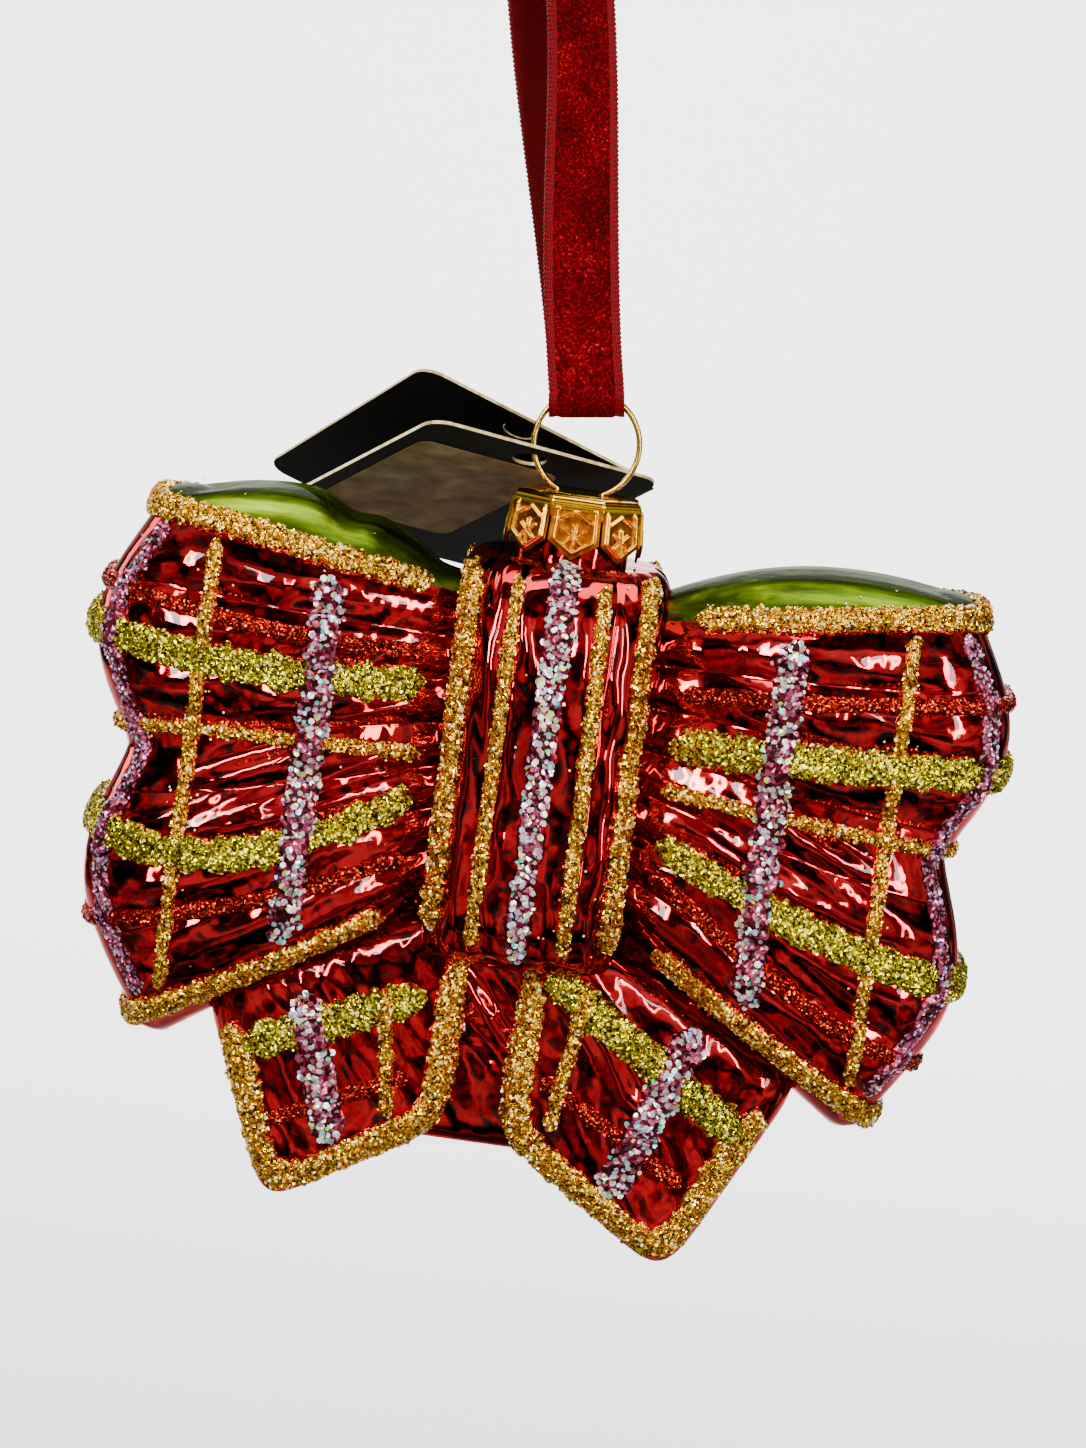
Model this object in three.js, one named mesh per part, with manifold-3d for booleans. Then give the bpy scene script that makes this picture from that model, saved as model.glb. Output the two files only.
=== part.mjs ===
// A blown-glass bow ornament: silvered and lacquered glass with raised glitter lines, a crown cap,
// a spring-wire hanger, a velvet ribbon loop and a folded paper tag.
// Sizes are in millimetres and angles in degrees. +Z is up, +X to the right and the front faces -Y.
// The bow is drawn about its own centre, and the whole ornament is then placed with its hanging
// point, the inside of the ribbon's top bend, at the origin.
import * as THREE from 'three';
import { mergeVertices } from 'three/addons/utils/BufferGeometryUtils.js';
import Module from 'manifold-3d';

const wasm = await Module();
wasm.setup();

// Clearances and walls
const seatGap = 0.35; // between a glitter line or a cap and what it sits on
const crossingGap = 0.3; // between a glitter line and the line that it passes over
const glassWall = 1.2;
const tilt = 8; // lean of the ribbon against the bow, as it hangs in the photograph

// Loops of the bow. Heights are those of the two gold edges, measured from the bow's centre
const loopRootX = 8;
const loopRootTop = 25.7;
const loopRootBottom = -11;
const rimTopX = 55.5;
const rimTopHeight = 33.5;
const rimBottomX = 50.5;
const rimBottomHeight = -36.2;
const waistX = 55.6;
const waistHeight = 0;
const lobeBulge = 6.2;
const cornerRound = 5;
const domeSpan = 4.5; // how far over the top gold edge the glass goes on rounding in
const soleDrop = 2.8;
const rightDomeRise = 5.4; // of the green tops over the gold edges
const leftDomeRise = 6.3;
const leftDomeCrease = 1.4;
const loopRootDepth = 10.5;
const loopDepth = 20;
const waistDip = 2.6;
const waistWidth = 6;
const loopFlutes = 7;
const loopFluteDepth = 0.8;
const rimPower = 4;
const edgePower = 4.5;
const swellShare = 0.55;
const rightDome = { side: 1, rise: rightDomeRise, middle: 0.5, spread: 0.55, crease: 0 };
const leftDome = { side: -1, rise: leftDomeRise, middle: 0.58, spread: 0.44, crease: leftDomeCrease };
const domeCrease = { at: 0.5, spread: 0.07 };
const leastDome = 0.28; // share of the rise that is left at the rim and at the knot

// Knot in the middle
const knotHalfWidth = 15;
const knotHalfDepth = 22.5;
const knotTop = 33.2;
const knotBottom = -23;
const knotFlutes = 16;
const knotFluteDepth = 0.7;
const knotPlanPower = 2.8;
const knotWidthPower = 8;
const knotDepthPower = 4;

// Tails, by the corners of their outlines: outer top, tip, inner corner and inner top
const tailRootHeight = -12;
const leftTailOuterX = -42;
const leftTailOuterHeight = -29;
const leftTailTipX = -29.5;
const leftTailTipHeight = -60.6;
const leftTailInnerX = -6;
const leftTailInnerHeight = -46;
const leftTailRootX = -5;
const rightTailOuterX = 42;
const rightTailOuterHeight = -31;
const rightTailTipX = 26;
const rightTailTipHeight = -63;
const rightTailInnerX = 0.5;
const rightTailInnerHeight = -46.2;
const leftTailCorners = [
  [leftTailOuterX, leftTailOuterHeight],
  [leftTailTipX, leftTailTipHeight],
  [leftTailInnerX, leftTailInnerHeight],
  [leftTailRootX, tailRootHeight],
];
const rightTailCorners = [
  [rightTailOuterX, rightTailOuterHeight],
  [rightTailTipX, rightTailTipHeight],
  [rightTailInnerX, rightTailInnerHeight],
  [rightTailInnerX, tailRootHeight],
];
const tailTopDepth = 11; // half depths
const tailEndDepth = 7.5;
const tailDepths = [tailTopDepth, tailEndDepth];

// Web between the tails. Its top spreads to close the corners between the knot, loops and tails
const webTopHalfWidth = 27;
const webTopHeight = -11;
const webBottomHeight = -48.3;
const webLeftX = -15;
const webRightX = 9;
const webTopDepth = 6.6;
const webEndDepth = 4.8;
const webDepths = [webTopDepth, webEndDepth];
const webCorners = [
  [-webTopHalfWidth, webTopHeight],
  [webLeftX, webBottomHeight],
  [webRightX, webBottomHeight],
  [webTopHalfWidth, webTopHeight],
];
const tailCornerPower = 7;
const tailEdgePower = 4;

// Neck and crown cap. The cap's skirt has a flat for each lobe, and radii are those of the flats
const neckRadius = 7.6;
const neckTop = 40.55;
const neckRoot = 26;
const boreDepth = 8; // how far the bore goes down past the neck's root
const capTop = 41.4;
const capSheet = 0.5;
const capShoulderRadius = 8.75;
const capHemRadius = 9.25;
const capShoulderDrop = 1.4;
const capTopRadius = 7.35;
const capBevelRadius = 8.45;
const capBevelDrop = 0.5;
const capLobes = 8;
const skirtLength = 6.1; // from the cap's top to the shoulders of its lobes
const lobePoint = 2.35;
const slitLength = 3.3;
const slitWidth = 0.6;
const lobeShoulder = capTop - skirtLength;
const lobeTip = lobeShoulder - lobePoint;
const slitTop = lobeShoulder + slitLength;

// Stamping on a lobe: a border, a chevron and a star, standing out from the sheet
const stampHeight = 0.22;
const stampSink = 0.15;
const borderInset = 0.35;
const borderWidth = 0.4;
const borderTop = slitTop + 0.8;
const chevronTop = slitTop;
const chevronDrop = 1;
const starCentre = lobeShoulder + 0.8;
const starReach = 1.35;
const starArm = 0.36;

// Spring-wire hanger
const wireRadius = 0.4;
const wireSides = 6;
const ringRadius = 7.1;
const ringStand = 6.5; // of the ring's centre over the cap
const ringCentreHeight = capTop + ringStand;
const legSpacing = 6.2;
const legLength = 19;
const legAbove = 0.1; // straight length over the cap
const legHoleRadius = wireRadius + 0.3;
const bendAngle = 52;

// Velvet ribbon
const ribbonWidth = 10;
const ribbonThickness = 0.6;
const ribbonRise = 66; // from the ring's centre to the top of the loop
const ribbonTopRadius = 5;
const ribbonBottomRadius = 2.9;
const ribbonTwist = 30;
const ribbonDrift = -3.5;

// Folded paper tag. Each leaf has the top of its fold, the direction of its top edge and the
// direction down the card, measured from the ring's centre. The wire runs through the front hole
const tagWidth = 35.5;
const tagLength = 50;
const tagSheet = 0.45;
const tagCorner = 3;
const tagHoleRadius = 2.3;
const tagHoleAlong = 18.2;
const tagHoleInset = 4.5;
const frontLeaf = {
  fold: [10.863, 5.725, -3.967],
  along: [-0.884, -0.444, 0.148],
  down: [-0.465, 0.801, -0.377],
};
const rearLeaf = {
  fold: [8.885, 8.969, -4.084],
  along: [-0.891, -0.31, 0.333],
  down: [-0.429, 0.814, -0.391],
};

// Glitter: colours, heights and the room at a crossing of two lines
const gold = 0xc8932b;
const olive = 0x9a921c;
const redGlitter = 0xa01a00;
const silver = 0xc9c4cf;
const lilac = 0xb9a3c6;
const boldHeight = 1.1;
const thinHeight = 0.8;
const lineTaper = 0.22;
const crossingReach = 0.9;
const rampLength = 1.1;
const edgeLineWidth = 3.5;
const oliveWidth = 5;
const redWidth = 2.2;
const thinWidth = 2;
const edgeLine = { width: edgeLineWidth, height: boldHeight, color: gold };
const oliveLine = { width: oliveWidth, height: boldHeight, color: olive };
const redLine = { width: redWidth, height: thinHeight, color: redGlitter };
const thinLine = { width: thinWidth, height: thinHeight, color: gold };
const silverLine = { width: 4.6, height: boldHeight, color: silver, bothFaces: true };
const knotGoldLine = { width: 4, height: boldHeight, color: gold, bothFaces: true };

// Glitter bands of a loop. Each goes from the knot round the rim to the back, and lies at a share
// of the height between the gold edges near the knot, half way out and at the rim
const bandStartX = 18.5;
const bandHalfReach = 0.59;
const leftBands = [
  { name: 'gold_edge_top', at: [1, 1, 1], edge: true, ...edgeLine },
  { name: 'red_line_upper', at: [0.797, 0.808, 0.835], ...redLine },
  { name: 'olive_band_upper', at: [0.695, 0.71, 0.749], ...oliveLine },
  { name: 'gold_line_middle', at: [0.49, 0.55, 0.562], ...thinLine },
  { name: 'olive_band_lower', at: [0.32, 0.268, 0.383], ...oliveLine },
  { name: 'red_line_lower', at: [0.145, 0.151, 0.182], ...redLine },
  { name: 'gold_edge_bottom', at: [0, 0, 0], edge: true, ...edgeLine },
];
const rightBands = [
  { name: 'gold_edge_top', at: [1, 1, 1], edge: true, ...edgeLine },
  { name: 'red_line_upper', at: [0.786, 0.817, 0.835], ...redLine },
  { name: 'olive_band_upper', at: [0.627, 0.674, 0.697], ...oliveLine },
  { name: 'gold_line_middle', at: [0.481, 0.521, 0.537], ...thinLine },
  { name: 'olive_band_lower', at: [0.295, 0.272, 0.284], ...oliveLine },
  { name: 'red_line_lower', at: [0.186, 0.122, 0.118], ...redLine },
  { name: 'gold_edge_bottom', at: [0, 0, 0], edge: true, ...edgeLine },
];

// Upright glitter lines of a loop, by their distance from the bow's middle, and the line that
// follows the rim, by its share of the way from the knot to the rim
const silverUprightX = 31;
const goldUprightX = 46;
const uprights = [
  { name: 'silver_upright', x: silverUprightX, ...silverLine },
  { name: 'gold_upright', x: goldUprightX, ...thinLine },
];
const rimLine = { name: 'rim_line', reach: 0.94, width: 2.4, height: thinHeight, color: lilac };

// Glitter lines down the knot: the share of its half width at the line's top and bottom, and how
// far the line stops short of the knot's top and bottom
const knotLines = [
  { name: 'knot_gold_left', x: [-0.855, -0.79], stops: [3.2, 5.5], ...knotGoldLine },
  { name: 'knot_thin_gold_left', x: [-0.425, -0.415], stops: [4.2, 4.5], ...thinLine },
  { name: 'knot_silver', x: [-0.04, -0.013], stops: [2.6, 3], ...silverLine },
  { name: 'knot_thin_gold_right', x: [0.345, 0.415], stops: [4.2, 4.5], ...thinLine },
  { name: 'knot_gold_right', x: [0.755, 0.81], stops: [3.2, 5.5], ...knotGoldLine },
];

// Glitter lines on the tails: the edge line goes round three sides, and the others run straight
// between two places, given as shares across and up the outline from -1 to 1. The upright ones
// pass over the level ones
const tailEdgeLine = { angles: [21, -206], steps: 22, size: 0.86, ...knotGoldLine };
const leftTail = {
  level: [
    { name: 'tail_olive', from: [-0.72, 0.32], to: [0.585, 0.255], ...oliveLine, bothFaces: true },
    { name: 'tail_red', from: [-0.705, -0.32], to: [0.515, -0.395], ...redLine },
  ],
  upright: [
    { name: 'tail_silver', from: [-0.285, 0.44], to: [-0.21, -0.605], ...silverLine },
    { name: 'tail_thin_gold', from: [0.315, 0.41], to: [0.35, -0.555], ...thinLine },
  ],
};
const rightTail = {
  level: [
    { name: 'tail_olive', from: [0.66, 0.445], to: [-0.755, 0.3], ...oliveLine, bothFaces: true },
    { name: 'tail_red', from: [0.62, -0.29], to: [-0.615, -0.3], ...redLine },
  ],
  upright: [
    { name: 'tail_silver', from: [-0.245, 0.565], to: [-0.2, -0.62], ...silverLine },
    { name: 'tail_thin_gold', from: [0.485, 0.6], to: [0.485, -0.55], ...thinLine },
  ],
};

const radians = THREE.MathUtils.degToRad;
const { lerp, clamp, smoothstep } = THREE.MathUtils;

// Height of a rounded flat-topped arch over -1 to 1, which is exactly 0 at both ends
function arch(q, power) {
  return Math.max(0, 1 - Math.abs(q) ** power - 1e-9) ** (1 / power);
}

// Solids and booleans

function bareGeometry(geometry) {
  const bare = geometry.index ? geometry.toNonIndexed() : geometry.clone();
  bare.deleteAttribute('normal');
  bare.deleteAttribute('uv');
  return mergeVertices(bare, 1e-5);
}

function solid(geometry) {
  const merged = bareGeometry(geometry);
  return new wasm.Manifold(new wasm.Mesh({
    numProp: 3,
    vertProperties: new Float32Array(merged.attributes.position.array),
    triVerts: new Uint32Array(merged.index.array),
  }));
}

function geometryOf(shape) {
  const { vertProperties, triVerts } = shape.getMesh();
  const geometry = new THREE.BufferGeometry();
  geometry.setAttribute('position', new THREE.BufferAttribute(vertProperties, 3));
  geometry.setIndex(new THREE.BufferAttribute(triVerts, 1));
  const faceted = geometry.toNonIndexed();
  faceted.computeVertexNormals();
  return faceted;
}

function joined(shapes) {
  return shapes.reduce((whole, shape) => whole.add(shape));
}

// A closed surface from rows of points. Each row is a closed ring, and the first and the last
// row are closed by a fan
function lofted(rings) {
  const positions = [];
  const count = rings[0].length;
  const triangle = (a, b, c) => positions.push(...a, ...b, ...c);
  for (let row = 0; row < rings.length - 1; row += 1) {
    for (let i = 0; i < count; i += 1) {
      const next = (i + 1) % count;
      triangle(rings[row][i], rings[row][next], rings[row + 1][next]);
      triangle(rings[row][i], rings[row + 1][next], rings[row + 1][i]);
    }
  }
  const closeEnd = (ring, turned) => {
    for (let i = 1; i < count - 1; i += 1) {
      if (turned) triangle(ring[0], ring[i], ring[i + 1]);
      else triangle(ring[0], ring[i + 1], ring[i]);
    }
  };
  closeEnd(rings[0], false);
  closeEnd(rings[rings.length - 1], true);
  return bufferFrom(positions);
}

// The same without ends, for a ring that closes on itself
function loopedLoft(rings) {
  const positions = [];
  const count = rings[0].length;
  rings.forEach((ring, row) => {
    const following = rings[(row + 1) % rings.length];
    for (let i = 0; i < count; i += 1) {
      const next = (i + 1) % count;
      positions.push(...ring[i], ...ring[next], ...following[next]);
      positions.push(...ring[i], ...following[next], ...following[i]);
    }
  });
  return bufferFrom(positions);
}

function bufferFrom(positions) {
  const geometry = new THREE.BufferGeometry();
  geometry.setAttribute('position', new THREE.Float32BufferAttribute(positions, 3));
  geometry.computeVertexNormals();
  return geometry;
}

// Turns a closed surface so that its faces point outwards
function facingOut(geometry) {
  const p = geometry.attributes.position;
  let volume = 0;
  const [a, b, c] = [new THREE.Vector3(), new THREE.Vector3(), new THREE.Vector3()];
  for (let i = 0; i < p.count; i += 3) {
    a.fromBufferAttribute(p, i);
    b.fromBufferAttribute(p, i + 1);
    c.fromBufferAttribute(p, i + 2);
    volume += a.dot(b.cross(c));
  }
  if (volume > 0) return geometry;
  for (let i = 0; i < p.count; i += 3) {
    a.fromBufferAttribute(p, i + 1);
    b.fromBufferAttribute(p, i + 2);
    p.setXYZ(i + 1, b.x, b.y, b.z);
    p.setXYZ(i + 2, a.x, a.y, a.z);
  }
  geometry.computeVertexNormals();
  return geometry;
}

// Loop of the bow. A ray runs from the knot to the rim, at a share v of the height between the
// two gold edges. The turn goes from the front at the knot, round the rim, to the back

const rimHeight = rimTopHeight - rimBottomHeight;
const lowestShare = -soleDrop / rimHeight;
const highestShare = 1 + domeSpan / rimHeight;
const waistShare = (waistHeight - rimBottomHeight) / rimHeight;

function rimReach(v) {
  const below = v < waistShare;
  const along = clamp(below ? v / waistShare : (v - waistShare) / (1 - waistShare), 0, 1);
  const chord = below ? lerp(rimBottomX, waistX, along) : lerp(waistX, rimTopX, along);
  const beyond = v < 0 ? v / lowestShare : Math.max(0, (v - 1) / (highestShare - 1));
  const retreat = cornerRound * (1 - Math.sqrt(1 - Math.min(1, beyond) ** 2));
  return chord + lobeBulge * Math.sin(Math.PI * along) ** 1.2 - retreat;
}

// Rise of a loop's top over its gold edge, at a share of the way from the knot to the rim
function domeHeight(side, reach) {
  const dome = side < 0 ? leftDome : rightDome;
  const arched = 1 - ((reach - dome.middle) / dome.spread) ** 2;
  const crease = dome.crease * Math.exp(-(((reach - domeCrease.at) / domeCrease.spread) ** 2));
  return Math.max(dome.rise * Math.max(leastDome, arched) - crease, 0);
}

function loopPoint(side, turn, v, inset = 0, smooth = false) {
  const reach = Math.abs(Math.sin(turn)) ** (2 / rimPower);
  const depthShare = Math.sign(Math.cos(turn)) * Math.abs(Math.cos(turn)) ** (2 / rimPower);
  const shrink = inset / rimHeight;
  const lowest = lowestShare + shrink;
  const highest = highestShare - shrink;
  const q = clamp((2 * v - lowest - highest) / (highest - lowest), -1, 1);
  const profile = arch(q, edgePower);
  const swell = lerp(loopRootDepth, loopDepth, smoothstep(reach, 0, swellShare));
  const fromWaist = ((v - waistShare) * rimHeight) / waistWidth;
  const dip = waistDip * Math.exp(-(fromWaist ** 2)) * reach;
  const inside = v > 0 && v < 1;
  const scallop = inside ? 1 - Math.abs(Math.sin(Math.PI * loopFlutes * v)) : 1;
  const flute = loopFluteDepth * (inset ? 1 : scallop) * (smooth ? 0 : 1);
  const depth = (swell - dip - flute - inset) * profile;
  const low = lerp(loopRootBottom, rimBottomHeight, reach);
  const high = lerp(loopRootTop, rimTopHeight, reach);
  const overEdge = Math.max(0, (v - 1) / (highestShare - 1));
  return new THREE.Vector3(
    side * (loopRootX + reach * (rimReach(v) - inset - loopRootX)),
    -depth * depthShare,
    lerp(low, high, Math.min(v, 1)) + overEdge * domeHeight(side, reach),
  );
}

function turnAt(reach) {
  return Math.asin(clamp(reach, 0, 1) ** (rimPower / 2));
}

function loopTurns(shares) {
  const front = shares.map(turnAt);
  return [...front, Math.PI / 2, ...front.map((turn) => Math.PI - turn).reverse()];
}

const fineReaches = [0, 0.18, 0.32, 0.42, 0.5, 0.6, 0.72, 0.82, 0.9, 0.955, 0.985];
const coarseReaches = [0, 0.35, 0.65, 0.86, 0.96];
const endProfile = [1, 0.995, 0.972, 0.93];

function loopShares(rows, inset = 0) {
  const shrink = inset / rimHeight;
  const middle = (lowestShare + highestShare) / 2;
  const half = (highestShare - lowestShare) / 2 - shrink;
  const low = endProfile.map((q) => middle - q * half).filter((v) => v < 0.02);
  const high = endProfile.map((q) => middle + q * half).filter((v) => v > 0.98).reverse();
  const within = Array.from({ length: rows + 1 }, (_, i) => i / rows);
  const kept = within.filter((v) => v > low[low.length - 1] + 0.004 && v < high[0] - 0.004);
  return [...low, ...kept, ...high];
}

function loopSolid(side, inset, reaches, rows) {
  const turns = loopTurns(reaches);
  const rings = loopShares(rows, inset).map((v) => (
    turns.map((turn) => loopPoint(side, turn, v, inset).toArray())
  ));
  return solid(facingOut(flatEnded(rings)));
}

const placeKey = (point) => point.map((value) => Math.round(value * 1e4) + 0).join();

// A loft whose first and last rows have no thickness, so that only its open side is closed
function flatEnded(rings) {
  const positions = [];
  const count = rings[0].length;
  for (let row = 0; row < rings.length - 1; row += 1) {
    for (let i = 0; i < count; i += 1) {
      const next = (i + 1) % count;
      const corners = [rings[row][i], rings[row][next], rings[row + 1][next], rings[row + 1][i]];
      [[0, 1, 2], [0, 2, 3]].forEach((order) => {
        const points = order.map((k) => corners[k]);
        if (new Set(points.map(placeKey)).size === 3) positions.push(...points.flat());
      });
    }
  }
  return bufferFrom(positions);
}

// Knot: an upright fluted form, round in plan and flat-topped in front view

function knotSize(height) {
  const middle = (knotTop + knotBottom) / 2;
  const t = clamp((height - middle) / ((knotTop - knotBottom) / 2), -1, 1);
  return {
    width: knotHalfWidth * arch(t, knotWidthPower),
    depth: knotHalfDepth * arch(t, knotDepthPower),
  };
}

function knotPoint(angle, height, inset = 0) {
  const { width, depth } = knotSize(height);
  const c = Math.cos(angle);
  const s = Math.sin(angle);
  const scallop = 1 - Math.abs(Math.sin((knotFlutes * angle) / 2));
  const flute = inset ? knotFluteDepth : knotFluteDepth * scallop;
  const across = Math.max(0.02, 1 - (inset + flute) / knotHalfWidth);
  const deep = Math.max(0.02, 1 - (inset + flute) / knotHalfDepth);
  return new THREE.Vector3(
    width * across * Math.sign(c) * Math.abs(c) ** (2 / knotPlanPower),
    depth * deep * Math.sign(s) * Math.abs(s) ** (2 / knotPlanPower),
    height,
  );
}

// Angle on the front of the knot at a given distance from its middle
function knotAngle(x, height) {
  const { width } = knotSize(height);
  const c = Math.sign(x) * Math.min(1, Math.abs(x) / width) ** (knotPlanPower / 2);
  return -Math.acos(c);
}

const knotLevels = [-0.985, -0.94, -0.82, -0.6, -0.25, 0.15, 0.5, 0.75, 0.9, 0.975];

function knotSolid(inset, sides) {
  const middle = (knotTop + knotBottom) / 2;
  const half = (knotTop - knotBottom) / 2 - inset;
  const rings = knotLevels.map((t) => (
    Array.from({ length: sides }, (_, i) => (
      knotPoint((2 * Math.PI * i) / sides, middle + t * half, inset).toArray()
    ))
  ));
  return solid(facingOut(lofted(rings)));
}

// Tails and the web between them: pillows over four-cornered outlines with rounded corners

function pillowPoint(corners, s, t, face, depths, inset = 0) {
  const [outerTop, tip, innerCorner, innerTop] = corners;
  const down = (1 - t) / 2;
  const across = (1 + s) / 2;
  const edge = (from, to) => [lerp(from[0], to[0], down), lerp(from[1], to[1], down)];
  const outer = edge(outerTop, tip);
  const inner = edge(innerTop, innerCorner);
  const size = (Math.abs(s) ** tailCornerPower + Math.abs(t) ** tailCornerPower) ** (1 / tailCornerPower);
  const profile = arch(Math.min(1, size), tailEdgePower);
  const depth = Math.max(0, lerp(depths[0], depths[1], down) - inset) * profile;
  const [x, z] = [lerp(outer[0], inner[0], across), lerp(outer[1], inner[1], across)];
  return new THREE.Vector3(x, face * depth, z);
}

const pillowSizes = [1, 0.985, 0.93, 0.8, 0.5];

function pillowSolid(corners, depths, inset, sides) {
  const span = Math.hypot(corners[1][0] - corners[2][0], corners[1][1] - corners[2][1]);
  const shrink = 1 - (2 * inset) / span;
  const spot = (size, i, face) => {
    const angle = (2 * Math.PI * i) / sides;
    const [c, s] = [Math.cos(angle), Math.sin(angle)];
    const square = (Math.abs(c) ** tailCornerPower + Math.abs(s) ** tailCornerPower) ** (-1 / tailCornerPower);
    const [u, w] = [size * square * c, size * square * s];
    const flat = pillowPoint(corners, u * shrink, w * shrink, face, depths, inset);
    flat.y = pillowPoint(corners, u, w, face, depths, inset).y;
    return flat.toArray();
  };
  const ring = (size, face) => Array.from({ length: sides }, (_, i) => spot(size, i, face));
  const front = pillowSizes.map((size) => ring(size, -1));
  const back = pillowSizes.slice(1).map((size) => ring(size, 1));
  return solid(facingOut(lofted([...front.reverse(), ...back])));
}

// Glass body

function glassBody() {
  const tails = [leftTailCorners, rightTailCorners];
  const form = (inset, reaches, rows, sides) => joined([
    knotSolid(inset, sides.knot),
    loopSolid(1, inset, reaches, rows),
    loopSolid(-1, inset, reaches, rows),
    ...tails.map((corners) => pillowSolid(corners, tailDepths, inset, sides.tail)),
    pillowSolid(webCorners, webDepths, inset, sides.web),
  ]);
  const outside = form(0, fineReaches, 3 * loopFlutes, { knot: 3 * knotFlutes, tail: 28, web: 12 });
  const inside = form(glassWall, coarseReaches, 7, { knot: 16, tail: 12, web: 8 });
  const neck = upright(neckRadius, neckRoot, neckTop, 32);
  const bore = upright(neckRadius - glassWall, neckRoot - boreDepth, neckTop + 1, 24);
  return geometryOf(outside.add(neck).subtract(joined([inside, bore])));
}

function upright(radius, from, to, sides) {
  const cylinder = new THREE.CylinderGeometry(radius, radius, to - from, sides);
  cylinder.rotateX(Math.PI / 2);
  cylinder.translate(0, 0, (from + to) / 2);
  return solid(cylinder);
}

// Glitter lines. A line is a low bar with sloping sides that follows a surface. Each station of
// its path has its two places on the surface and how far the line is raised there. Across is the
// direction over the surface, in the same two measures, in which the line has its width

function glitterBar(surface, path, across, line, outward) {
  const step = 1e-3;
  const rings = path.map(([first, second, raised = 0]) => {
    const offset = (amount) => surface(first + amount * across[0], second + amount * across[1]);
    const perUnit = offset(step).distanceTo(offset(-step)) / (2 * step);
    const half = line.width / 2 / perUnit;
    const [one, other, centre] = [offset(-half), offset(half), offset(0)];
    const alongFirst = surface(first + step, second).sub(surface(first - step, second));
    const alongSecond = surface(first, second + step).sub(surface(first, second - step));
    const normal = alongFirst.cross(alongSecond).normalize();
    if (normal.dot(outward(centre)) < 0) normal.negate();
    const crest = centre.clone().sub(one.clone().add(other).multiplyScalar(0.5)).dot(normal);
    const lift = seatGap + raised + Math.max(0, crest);
    const corner = (share, up) => one.clone().lerp(other, share).addScaledVector(normal, up).toArray();
    return [
      corner(0, lift),
      corner(1, lift),
      corner(1 - lineTaper, lift + line.height),
      corner(lineTaper, lift + line.height),
    ];
  });
  return facingOut(lofted(rings));
}

// Stations between two ends of a line that steps over the lines that it crosses. A crossing has
// its place, half the length to stay raised for, and the height to clear
function steppingStations(from, to, crossings, ramp, plain) {
  const raisedAt = (place) => crossings.reduce((most, { at, over, top }) => (
    Math.max(most, top * clamp((over + ramp - Math.abs(place - at)) / ramp, 0, 1))
  ), 0);
  const stations = [from, to];
  crossings.forEach(({ at, over }) => {
    [-over - ramp, -over, over, over + ramp].forEach((away) => stations.push(at + away));
  });
  for (let i = 1; i < plain; i += 1) stations.push(lerp(from, to, i / plain));
  const sorted = stations.filter((place) => place >= from && place <= to).sort((a, b) => a - b);
  const spaced = sorted.filter((place, i) => i === 0 || place - sorted[i - 1] > ramp / 4);
  return spaced.map((place) => [place, raisedAt(place)]);
}

// Parts of the scene

const tangible = (color, roughness, metalness) => (
  new THREE.MeshStandardMaterial({ color, roughness, metalness })
);

function part(name, geometry, material, parent) {
  const mesh = new THREE.Mesh(geometry, material);
  mesh.name = name;
  parent.add(mesh);
  return mesh;
}

// Share of the height between the gold edges at which a band lies, through its three given ones
function bandShare(band, reach) {
  const [start, half, rim] = band.at;
  const t = (reach - startReach) / (1 - startReach);
  const m = (bandHalfReach - startReach) / (1 - startReach);
  const sag = (half - lerp(start, rim, m)) / (m * (1 - m));
  return lerp(start, rim, t) + sag * t * (1 - t);
}

const bandReaches = [0.32, 0.46, 0.6, 0.72, 0.82, 0.9, 0.955, 0.985];
const knotLineSteps = [0, 0.03, 0.07, 0.13, 0.22, 0.36, 0.55, 0.75, 0.88, 0.95, 1];
const startReach = (bandStartX - loopRootX) / (rimTopX - loopRootX);

const sideways = (point) => new THREE.Vector3(Math.sign(point.x) * 0.5, Math.sign(point.y), 0);
const forward = (point) => new THREE.Vector3(0, Math.sign(point.y), 0);

function addLine(name, surface, path, across, line, outward, parent) {
  const bar = glitterBar(surface, path, across, line, outward);
  part(name, bar, tangible(line.color, 0.45, 0.6), parent);
}

function addBands(side, sideName, bands, parent) {
  const reaches = [startReach, ...bandReaches.filter((reach) => reach > startReach + 0.05)];
  const surface = (turn, v) => loopPoint(side, turn, v);
  bands.forEach((band) => {
    const path = loopTurns(reaches).map((turn) => {
      const reach = Math.abs(Math.sin(turn)) ** (2 / rimPower);
      return [turn, bandShare(band, reach)];
    });
    addLine(`${sideName}_${band.name}`, surface, path, [0, 1], band, sideways, parent);
  });
}

function addUprights(side, sideName, bands, parent) {
  const surface = (turn, v) => loopPoint(side, turn, v, 0, true);
  const climb = (name, reach, back, line) => {
    const low = lerp(loopRootBottom, rimBottomHeight, reach);
    const high = lerp(loopRootTop, rimTopHeight, reach);
    const scale = high - low;
    const crossings = bands.filter((band) => !band.edge).map((band) => ({
      at: bandShare(band, reach),
      over: (band.width / 2 + crossingReach) / scale,
      top: band.height + crossingGap + loopFluteDepth / 4,
    }));
    const clear = (edgeLineWidth / 2 + 2 * crossingGap) / scale;
    const turn = back ? Math.PI - turnAt(reach) : turnAt(reach);
    const stations = steppingStations(clear, 1 - clear, crossings, rampLength / scale, 6);
    const path = stations.map(([v, raised]) => [turn, v, raised]);
    addLine(`${sideName}_${name}`, surface, path, [1, 0], line, sideways, parent);
  };
  uprights.forEach((line) => {
    const reach = (line.x - loopRootX) / (waistX - loopRootX);
    climb(line.name, reach, false, line);
    if (line.bothFaces) climb(`back_${line.name}`, reach, true, line);
  });
  climb(rimLine.name, rimLine.reach, false, rimLine);
}

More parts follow.
